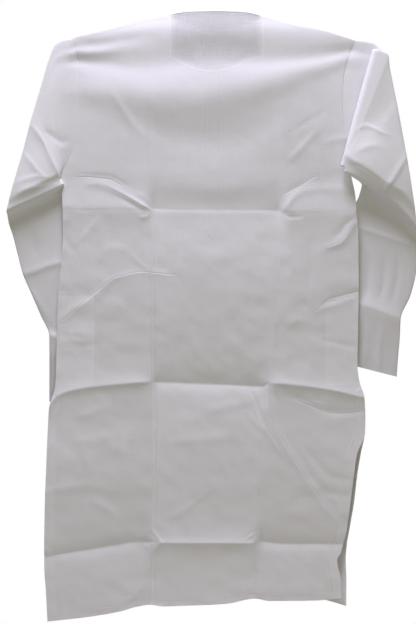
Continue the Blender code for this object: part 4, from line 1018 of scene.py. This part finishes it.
# Rings: rows (top x, z, y, under x, z, y, half depth, turn in degrees, bow)
SLEEVE_LEFT = [
    (-261.0, 20.0, 0, -279.6, -231.5, 0.0, 5.5, 0, 0),
    (-272.0, 18.5, 0, -280.3, -232.6, -0.5, 5.5, 0, 0),
    (-288.0, 11.0, 0, -280.7, -233.6, -1.0, 5.5, 0, 0),
    (-300.5, -18.0, -1, -281.0, -234.4, -1.5, 6.0, 0, 0),
    (-312.0, -57.6, -2, -281.3, -235.2, -2.0, 6.5, 0, -3),
    (-324.5, -100.0, -3, -279.8, -235.9, -2.8, 7.0, 0, -6),
    (-334.5, -135.0, -5, -278.6, -236.8, -3.6, 7.0, 0, -9),
    (-345.5, -179.0, -4, -277.2, -237.8, -4.2, 7.0, 0, -6),
    (-356.5, -218.0, -4, -275.8, -238.8, -4.8, 7.0, 0, -3),
    (-366.5, -254.0, -6, -274.8, -239.9, -5.2, 7.0, 0, 0),
    (-374.8, -287.0, -8, -274.0, -241.2, -5.6, 6.0, 10, 0),
    (-376.0, -292.5, -3, -273.2, -243.4, 1.0, 6.0, 60, 0),
    (-375.6, -298.0, 4, -271.0, -246.8, 6.5, 6.0, 30, 0),
    (-374.4, -310.0, 9, -268.0, -251.0, 12.0, 6.5, 0, 0),
    (-366.8, -334.0, 11, -245.0, -270.0, 17.5, 7.0, 0, 0),
    (-359.1, -363.6, 11, -222.0, -304.0, 20.0, 7.0, 0, 0),
    (-348.5, -403.2, 10, -204.0, -350.0, 21.5, 7.0, 0, 0),
    (-333.0, -439.2, 11, -191.0, -394.0, 22.5, 7.0, 0, 0),
    (-316.8, -477.0, 11, -181.0, -442.0, 23.0, 7.0, 0, 0),
    (-300.6, -515.0, 10, -170.0, -493.0, 23.5, 7.0, 0, 0),
    (-300.4, -545.0, 10, -169.2, -534.0, 23.5, 7.0, 0, 0),
    (-300.8, -590.0, 11, -169.2, -585.0, 23.5, 7.0, 0, 0),
    (-301.0, -633.6, 11, -169.2, -633.6, 23.5, 6.5, 0, 0),
]
SLEEVE_RIGHT = [
    (259.0, 16.5, 0, 246.0, -223.8, 0.0, 4.5, 0, 0),
    (270.0, 15.0, 0, 251.0, -221.5, 0.0, 3.4, 0, 0),
    (283.0, 12.0, 0, 256.5, -219.5, 0.0, 2.4, 0, 0),
    (294.0, 2.5, -1.8, 262.2, -218.5, -1.8, 2.3, -45, 0),
    (295.0, -0.5, -6, 264.0, -218.0, -6, 2.3, -90, 0),
    (293.5, -2.0, -10.2, 262.2, -217.6, -10.2, 2.3, -135, 0),
    (291.0, 0.5, -12, 257.0, -216.8, -12, 2.3, -180, 0),
    (287.5, -1.0, -12, 233.0, -212.8, -12, 2.2, -180, 0),
    (283.3, -2.0, -13.6, 226.0, -211.8, -13.6, 2.2, -135, 0),
    (281.5, -3.0, -17.5, 223.8, -211.4, -17.5, 2.2, -90, 0),
    (283.3, -4.0, -21.4, 225.6, -211.8, -21.4, 2.4, -45, 0),
    (288.0, -5.0, -23, 229.0, -212.8, -23, 2.6, 0, 0),
    (297.0, -7.5, -23, 229.4, -213.6, -23, 3.0, 0, 0),
    (306.5, -14.0, -23, 229.7, -214.4, -23.2, 3.3, 0, 0),
    (309.0, -34.0, -22, 230.0, -215.2, -23.3, 3.5, 0, 0),
    (314.5, -62.0, -20.5, 230.2, -216.0, -23.4, 3.7, 0, 0),
    (322.5, -101.0, -19, 230.2, -216.8, -23.5, 3.9, 0, 0),
    (331.0, -146.0, -17, 230.2, -217.6, -23.5, 4.5, 0, 0),
    (341.5, -205.0, -16, 229.8, -218.4, -23.4, 5.0, 0, 2),
    (352.0, -270.0, -14, 229.2, -219.4, -23.2, 5.5, 0, -6),
    (360.0, -316.0, -12, 228.6, -220.6, -22.2, 5.0, 15, -12),
    (361.5, -323.0, -8, 241.0, -226.5, -15.0, 4.5, 50, -10),
    (362.6, -329.0, -2, 257.0, -234.5, -6.0, 4.5, 70, -7),
    (363.6, -335.0, 5, 263.5, -243.0, 4.0, 5.0, 30, -4),
    (364.4, -344.0, 10, 259.0, -263.0, 11.5, 6.0, 0, 0),
    (364.8, -358.0, 11, 238.0, -296.0, 15.5, 6.5, 0, 0),
    (361.5, -399.6, 11, 211.0, -345.0, 20.0, 7.0, 0, 0),
    (351.5, -441.0, 10, 197.0, -392.0, 21.5, 7.0, 0, 0),
    (333.0, -484.2, 9, 189.0, -428.0, 22.5, 7.0, 0, 0),
    (331.8, -518.4, 10, 186.0, -470.0, 23.0, 7.0, 0, 0),
    (328.9, -554.4, 11, 186.0, -514.0, 23.0, 7.0, 0, 0),
    (326.6, -588.6, 11, 188.0, -553.0, 23.0, 6.5, 0, 0),
]
GAP = 0.6
ACROSS = 74         # points over each layer of a sleeve


def sleeve(name, table, arm, level, side, folds, shades, stands_for):
    """Loft the rings of one sleeve, layer over layer; side is -1 for the left and +1 for the right."""
    column = np.array(side_column(arm, [arm[-1], level], [arm[0][1], level[1]]))
    s = np.linspace(0, 1, ACROSS)
    v = np.linspace(0, UNDERARM, 400)
    edge = np.stack([smooth(column[:, 0], column[:, c], v) for c in (1, 2)], 1)
    run = np.concatenate([[0], np.cumsum(np.hypot(*np.diff(edge, axis=0).T))])
    edge = np.stack([np.interp(s * run[-1], run, edge[:, c]) for c in (0, 1)], 1)
    slope = np.gradient(edge, axis=0)
    slope = slope / np.linalg.norm(slope, axis=1, keepdims=True)
    ex = edge[:, 0] + side * np.abs(slope[:, 1]) * GAP
    ez = edge[:, 1] - side * slope[:, 0] * np.sign(slope[:, 1]) * GAP
    pushed = back_relief(edge[:, 0], edge[:, 1])
    y0, y1 = back_form(edge[:, 0], edge[:, 1]), front_form(edge[:, 0], edge[:, 1])
    t = np.array(table, float)
    ks, starts = [0.0], [0.0]
    for k in range(len(t) - 1):
        long = max(np.linalg.norm(t[k + 1, :3] - t[k, :3]), np.linalg.norm(t[k + 1, 3:6] - t[k, 3:6]))
        n = max(2 if abs(t[k + 1, 7] - t[k, 7]) < 20 else 5, int(math.ceil(long / 4.0)))
        ks += list(k + np.arange(1, n + 1) / n)
    ks = np.array(ks)
    count = np.arange(len(t))
    rows = np.stack([(np.interp(ks, count, t[:, c]) if c == 7 else smooth(count, t[:, c], ks))
                     for c in range(9)], 1)
    tips = np.radians([30.0, 60.0])
    rings = []
    for tx, tz, ty, ux, uz, uy, deep, turn, bow in rows:
        a, b = np.array([tx, ty, tz]), np.array([ux, uy, uz])
        way = b - a
        length = np.linalg.norm(way)
        way = way / length
        out = side * np.cross(way, (0, 1, 0))
        out = out / np.linalg.norm(out)
        face = -np.array([0, 1.0, 0])
        face = face - way * np.dot(face, way)
        face = face / np.linalg.norm(face)
        face = face * math.cos(math.radians(turn)) + out * math.sin(math.radians(turn))
        r = min(1.8, deep)
        h = r + (deep - r) * np.sin(np.pi * s) ** 0.8
        core = a + way * (r + s * (length - 2 * r))[:, None] + out * (bow * np.sin(np.pi * s))[:, None]
        lift = face * h[:, None]
        # Round the ring: the turned edge a, one layer, the turned edge b, the other layer
        head, foot, foot_b, head_b = (
            [end + inward * r * (1 - math.cos(f)) + over * r * math.sin(f) for f in order]
            for end, inward, over, order in (
                (a, way, face, tips), (b, -way, face, tips[::-1]),
                (b, -way, -face, tips), (a, way, -face, tips[::-1])))
        rings.append(np.array([a, *head, *(core + lift), *foot, b, *foot_b, *(core - lift)[::-1], *head_b]))
    rings = np.array(rings)
    m0, m1 = float(middle(*np.array(arm[0]))), float(middle(*np.array(arm[-1])))
    top = np.array([arm[0][0] + side * GAP, m0, arm[0][1] + WALL])
    under = np.array([arm[-1][0] + side * GAP, m1, arm[-1][1] - WALL])
    layer_a = np.stack([ex, y0, ez], 1)
    layer_b = np.stack([ex, y1, ez], 1)[::-1]

    def mix(p, q, f):
        return p + (q - p) * f

    def between(p, q):
        return [mix(p, q, 0.3), mix(p, q, 0.7)]

    first = np.array([top, *between(top, layer_a[0]), *layer_a, *between(layer_a[-1], under), under,
                      *between(under, layer_b[0]), *layer_b, *between(layer_b[-1], top)])
    inner = first.copy()
    deep = np.clip((y1 - y0) / 2 - 0.5, 0.0, 1.0)
    tuck = np.concatenate([[0] * 3, deep, [0] * 5, -deep[::-1], [0] * 2])
    inner[:, 0] -= side * 4.0
    inner[:, 1] += tuck
    start = [inner]
    for f in np.linspace(0, 1, 4)[:-1]:
        ring = mix(first, rings[0], f)
        ring[:, 1] += tuck * (0.75, 0.3, 0.0)[len(start) - 1]
        start.append(ring)
    rings = np.concatenate([np.array(start), rings])
    marks = np.concatenate([[-1.2], np.linspace(-1, 0, 4)[:-1], ks])
    shift = relief(rings[..., 0], rings[..., 2], folds)
    n = len(first)
    seam_push = np.concatenate([[pushed[0]] * 3, pushed, [pushed[-1]] * 5, pushed[::-1], [pushed[0]] * 2])
    fade = np.exp(-np.maximum(marks + 1, 0) / 1.5)[:, None]
    rings[..., 1] -= shift * (1 - fade) + seam_push[None, :] * fade
    pts = rings.reshape(-1, 3)
    j, i = np.meshgrid(np.arange(len(rings) - 1), np.arange(n), indexing="ij")
    i2 = (i + 1) % n
    quads = np.stack([j * n + i, j * n + i2, (j + 1) * n + i2, (j + 1) * n + i], -1).reshape(-1, 4)
    if side > 0:
        quads = quads[:, ::-1]
    # Painted light and shade on each sleeve's colour, ring by ring
    layers = np.broadcast_to(read(shades, marks)[:, None], rings.shape[:2])
    cloth = cotton(name + "_cotton", WHITE, tints=[(1.0, plain, "layers")])
    piece = add_mesh(name, pts, quads.tolist(), cloth, WALL, layers=layers)
    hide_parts(stands_for)
    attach(piece, "root")
    return piece, rings


# Painted light and shade along each sleeve, as a share of white added to its colour: more on the upper sleeve
# and the turned-over flap, less down to the cuff, which hangs in shade: rows (ring, share)
LEFT_SHADE = [(-2, 0.0), (0, 0.02), (2, 0.05), (8, 0.05), (11, 0.0), (16, -0.01), (19, -0.09), (22, -0.20)]
RIGHT_SHADE = [(-2, 0.0), (6, 0.0), (12, 0.08), (18, 0.08), (21, 0.0), (26, -0.02), (29, -0.06), (31, -0.08)]
left_tube, left_rings = sleeve(
    "sleeve_left_cloth", SLEEVE_LEFT, ARM_LEFT, CREASE_1[0], -1, LEFT_FOLDS, LEFT_SHADE, "sleeve_left")
right_tube, right_rings = sleeve(
    "sleeve_right_cloth", SLEEVE_RIGHT, ARM_RIGHT, CREASE_1[-1], 1, RIGHT_FOLDS, RIGHT_SHADE, "sleeve_right")

# Stitches: one row of short white running stitches along each hem, slit, armhole, shoulder, cuff, pocket
# and placket edge, sewn through the cloth by machine.
OUT = 0.5
HEM_IN, SLIT_IN, SEAM_IN = 11.0, 16.0, 3.5
seams = []


def sew(x, z, face, out):
    """A row of stitches on a panel; out is -1 on the back's outer face and +1 on the front's."""
    x, z = np.broadcast_arrays(np.asarray(x, float), np.asarray(z, float))
    seams.append(np.stack([x, face(x, z) + out * OUT, z], 1))


for face, out, foot, left, right in (
    (back_y, -1, HEM, SIDE_L, SIDE_R),
    (front_y, 1, FRONT_HEM, SIDE_L, SIDE_RF),
):
    x = np.linspace(foot[0][0] + SLIT_IN, foot[-1][0] - SLIT_IN, 260)
    sew(x, read(foot, x) + HEM_IN, face, out)
    for side, edge in ((1, left), (-1, right)):
        z = np.linspace(SLIT_TOP - 6, edge[-1][1] + 12, 180)
        sew(read(edge, z, 1, 0) + side * SLIT_IN, z, face, out)
        z = np.linspace(12.0, -216.0, 110)
        sew(read(edge, z, 1, 0) + side * SEAM_IN, z, face, out)
        x = np.linspace(side * -246.0, side * -88.0, 80)
        sew(x, read(SHOULDERS, x) - 4.0, face, out)
x = np.linspace(-76, 76, 70)
sew(x, read(SHOULDERS, x) - SEAM_IN, back_y, -1)
share = np.linspace(0.06, 0.94, 150)
sew(read(SCOOP, share, 0, 1) * 1.04, read(SCOOP, share, 0, 2) - 3.6, front_y, 1)
# Round each pocket bag: its inner side, its foot and its top
for inner, low, high in ((0.4, 0.12, 0.4), (8.6, 8.6, 8.88)):
    across = np.linspace(low, high, 30)
    for us, vs in (([inner], np.linspace(1.5, 2.04, 60)), (across, [2.04]), (across, [1.5])):
        seams.append(front_patch(np.array(us), np.array(vs), OUT).reshape(-1, 3))
# Down and up the upper strip's two edges, and once across it above the point
strip = strips["placket_upper"]
inset = 2.2 / (STRIP_RIGHT - STRIP_LEFT)
down = [r[0] + (r[-1] - r[0]) * inset for r in strip[:-1]]
up = [r[-1] + (r[0] - r[-1]) * inset for r in strip[:-1]][::-1]
seams.append(np.array(down + up) + (0, OUT, 0))
seams.append(strip[76, 1:-1] + (0, OUT, 0))
# Round each cuff, on its upper and its under layer
for rings in (left_rings, right_rings):
    for layer, out in ((slice(4, 2 + ACROSS), -1), (slice(9 + ACROSS, 7 + 2 * ACROSS), 1)):
        seams.append(rings[-6, layer] + (0, out * OUT, 0))

lines = bpy.data.meshes.new("seam_lines")
starts = np.cumsum([0] + [len(q) for q in seams])
links = [(int(a + n), int(a + n + 1)) for a, q in zip(starts, seams) for n in range(len(q) - 1)]
lines.from_pydata((np.concatenate(seams) * MM).tolist(), links, [])
stitches = put("stitches", lines)
sewing = bpy.data.node_groups.new("running_stitch", "GeometryNodeTree")
sewing.interface.new_socket("Geometry", in_out="INPUT", socket_type="NodeSocketGeometry")
sockets = {name: sewing.interface.new_socket(name, in_out="INPUT", socket_type="NodeSocketFloat")
           for name in ("Pitch", "Length", "Thickness")}
sewing.interface.new_socket("Geometry", in_out="OUTPUT", socket_type="NodeSocketGeometry")
given = sewing.nodes.new("NodeGroupInput")
curve = sewing.nodes.new("GeometryNodeMeshToCurve")
even = sewing.nodes.new("GeometryNodeResampleCurve")
even.mode = "LENGTH"
spots = sewing.nodes.new("GeometryNodeCurveToPoints")
spots.mode = "EVALUATED"
aim = sewing.nodes.new("FunctionNodeAlignRotationToVector")
aim.axis = "X"
bead = sewing.nodes.new("GeometryNodeMeshUVSphere")
bead.inputs["Segments"].default_value = 6
bead.inputs["Rings"].default_value = 4
bead.inputs["Radius"].default_value = 0.5
uneven = sewing.nodes.new("FunctionNodeRandomValue")
uneven.inputs[2].default_value, uneven.inputs[3].default_value = 0.9, 1.08
uneven.inputs["Seed"].default_value = 4
longer = sewing.nodes.new("ShaderNodeMath")
longer.operation = "MULTIPLY"
size = sewing.nodes.new("ShaderNodeCombineXYZ")
place = sewing.nodes.new("GeometryNodeInstanceOnPoints")
real = sewing.nodes.new("GeometryNodeRealizeInstances")
dress = sewing.nodes.new("GeometryNodeSetMaterial")
dress.inputs["Material"].default_value = thread_white
result = sewing.nodes.new("NodeGroupOutput")
for a, b in (
    (given.outputs["Geometry"], curve.inputs["Mesh"]), (curve.outputs[0], even.inputs["Curve"]),
    (given.outputs["Pitch"], even.inputs["Length"]), (even.outputs[0], spots.inputs["Curve"]),
    (spots.outputs["Tangent"], aim.inputs["Vector"]), (spots.outputs["Points"], place.inputs["Points"]),
    (bead.outputs["Mesh"], place.inputs["Instance"]), (aim.outputs[0], place.inputs["Rotation"]),
    (given.outputs["Length"], longer.inputs[0]), (uneven.outputs[1], longer.inputs[1]),
    (longer.outputs[0], size.inputs["X"]), (given.outputs["Thickness"], size.inputs["Y"]),
    (given.outputs["Thickness"], size.inputs["Z"]), (size.outputs[0], place.inputs["Scale"]),
    (place.outputs[0], real.inputs[0]), (real.outputs[0], dress.inputs["Geometry"]),
    (dress.outputs[0], result.inputs[0]),
):
    sewing.links.new(a, b)
row = stitches.modifiers.new("sewing", "NODES")
row.node_group = sewing
for name, value in (("Pitch", 0.0032), ("Length", 0.0024), ("Thickness", 0.00048)):
    row[sockets[name].identifier] = value
sewn = bpy.data.meshes.new_from_object(stitches.evaluated_get(bpy.context.evaluated_depsgraph_get()))
stitches.modifiers.clear()
stitches.data = sewn
sewn.name = "stitches"
sewn.materials.clear()
sewn.materials.append(thread_white)
sewn.polygons.foreach_set("material_index", [0] * len(sewn.polygons))
sewn.polygons.foreach_set("use_smooth", [True] * len(sewn.polygons))
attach(stitches, "root")

# Floor and light: a plain pale floor that fades into white, one soft, slightly cool lamp above the cloth on
# the camera's side, a weak wide one in front of it, and one for the far side.
FLOOR_Z = -1.5
FLOOR_R = 1.7
FADE = 0.9          # how far in from its rim the floor fades out
turn = np.linspace(0, 2 * np.pi, 97)[:-1]
floor_mesh = bpy.data.meshes.new("floor")
rim = [(FLOOR_R * math.cos(a), FLOOR_R * math.sin(a), FLOOR_Z) for a in turn]
floor_mesh.from_pydata(rim, [], [tuple(range(96))])
floor = put("floor", floor_mesh)
pale = bpy.data.materials.new("floor_pale")
pale.use_nodes = True
tree = pale.node_tree
shader = tree.nodes["Principled BSDF"]
shader.inputs["Base Color"].default_value = (0.84, 0.84, 0.84, 1)
shader.inputs["Roughness"].default_value = 0.95
coords = tree.nodes.new("ShaderNodeTexCoord")
flat_way = node(tree, "ShaderNodeVectorMath", operation="MULTIPLY")
flat_way.inputs[1].default_value = (1, 1, 0)
reach = node(tree, "ShaderNodeVectorMath", operation="LENGTH")
tree.links.new(coords.outputs["Object"], flat_way.inputs[0])
tree.links.new(flat_way.outputs[0], reach.inputs[0])
edge = maths(tree, "DIVIDE", maths(tree, "SUBTRACT", FLOOR_R, reach.outputs["Value"]), FADE)
tree.links.new(maths(tree, "MINIMUM", edge, 1.0), shader.inputs["Alpha"])
floor_mesh.materials.append(pale)
floor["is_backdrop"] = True


def lamp(name, at, toward, size, power, colour):
    light = bpy.data.lights.new(name, "AREA")
    light.shape = "DISK"
    light.size = size
    light.energy = power
    light.color = colour
    thing = put(name, light)
    thing.location = at
    way = np.array(toward) - np.array(at)
    thing.rotation_mode = "QUATERNION"
    thing.rotation_quaternion = Vector(way).to_track_quat("-Z", "Y")


lamp("key", (-0.25, -0.68, 1.75), (0, 0, -0.4), 1.0, 66.0, (0.815, 0.80, 1.0))
lamp("fill", (0.5, -3.4, -0.3), (0, 0, -0.5), 2.0, 12.0, (1.0, 0.98, 0.76))
lamp("far_side", (0.5, 2.4, 3.4), (0, 0, -0.4), 2.0, 75.0, (0.95, 0.94, 1.0))
world = bpy.data.worlds.new("studio")
bpy.context.scene.world = world
world.use_nodes = True
tree = world.node_tree
tree.nodes.clear()
seen = node(tree, "ShaderNodeBackground", Color=(1, 1, 1, 1), Strength=1.0)
around = node(tree, "ShaderNodeBackground", Color=(1.0, 0.98, 0.72, 1), Strength=0.175)
rays = tree.nodes.new("ShaderNodeLightPath")
choice = tree.nodes.new("ShaderNodeMixShader")
end = tree.nodes.new("ShaderNodeOutputWorld")
tree.links.new(rays.outputs["Is Camera Ray"], choice.inputs[0])
tree.links.new(around.outputs[0], choice.inputs[1])
tree.links.new(seen.outputs[0], choice.inputs[2])
tree.links.new(choice.outputs[0], end.inputs[0])
bpy.context.scene.view_settings.view_transform = "Standard"

low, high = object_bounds()
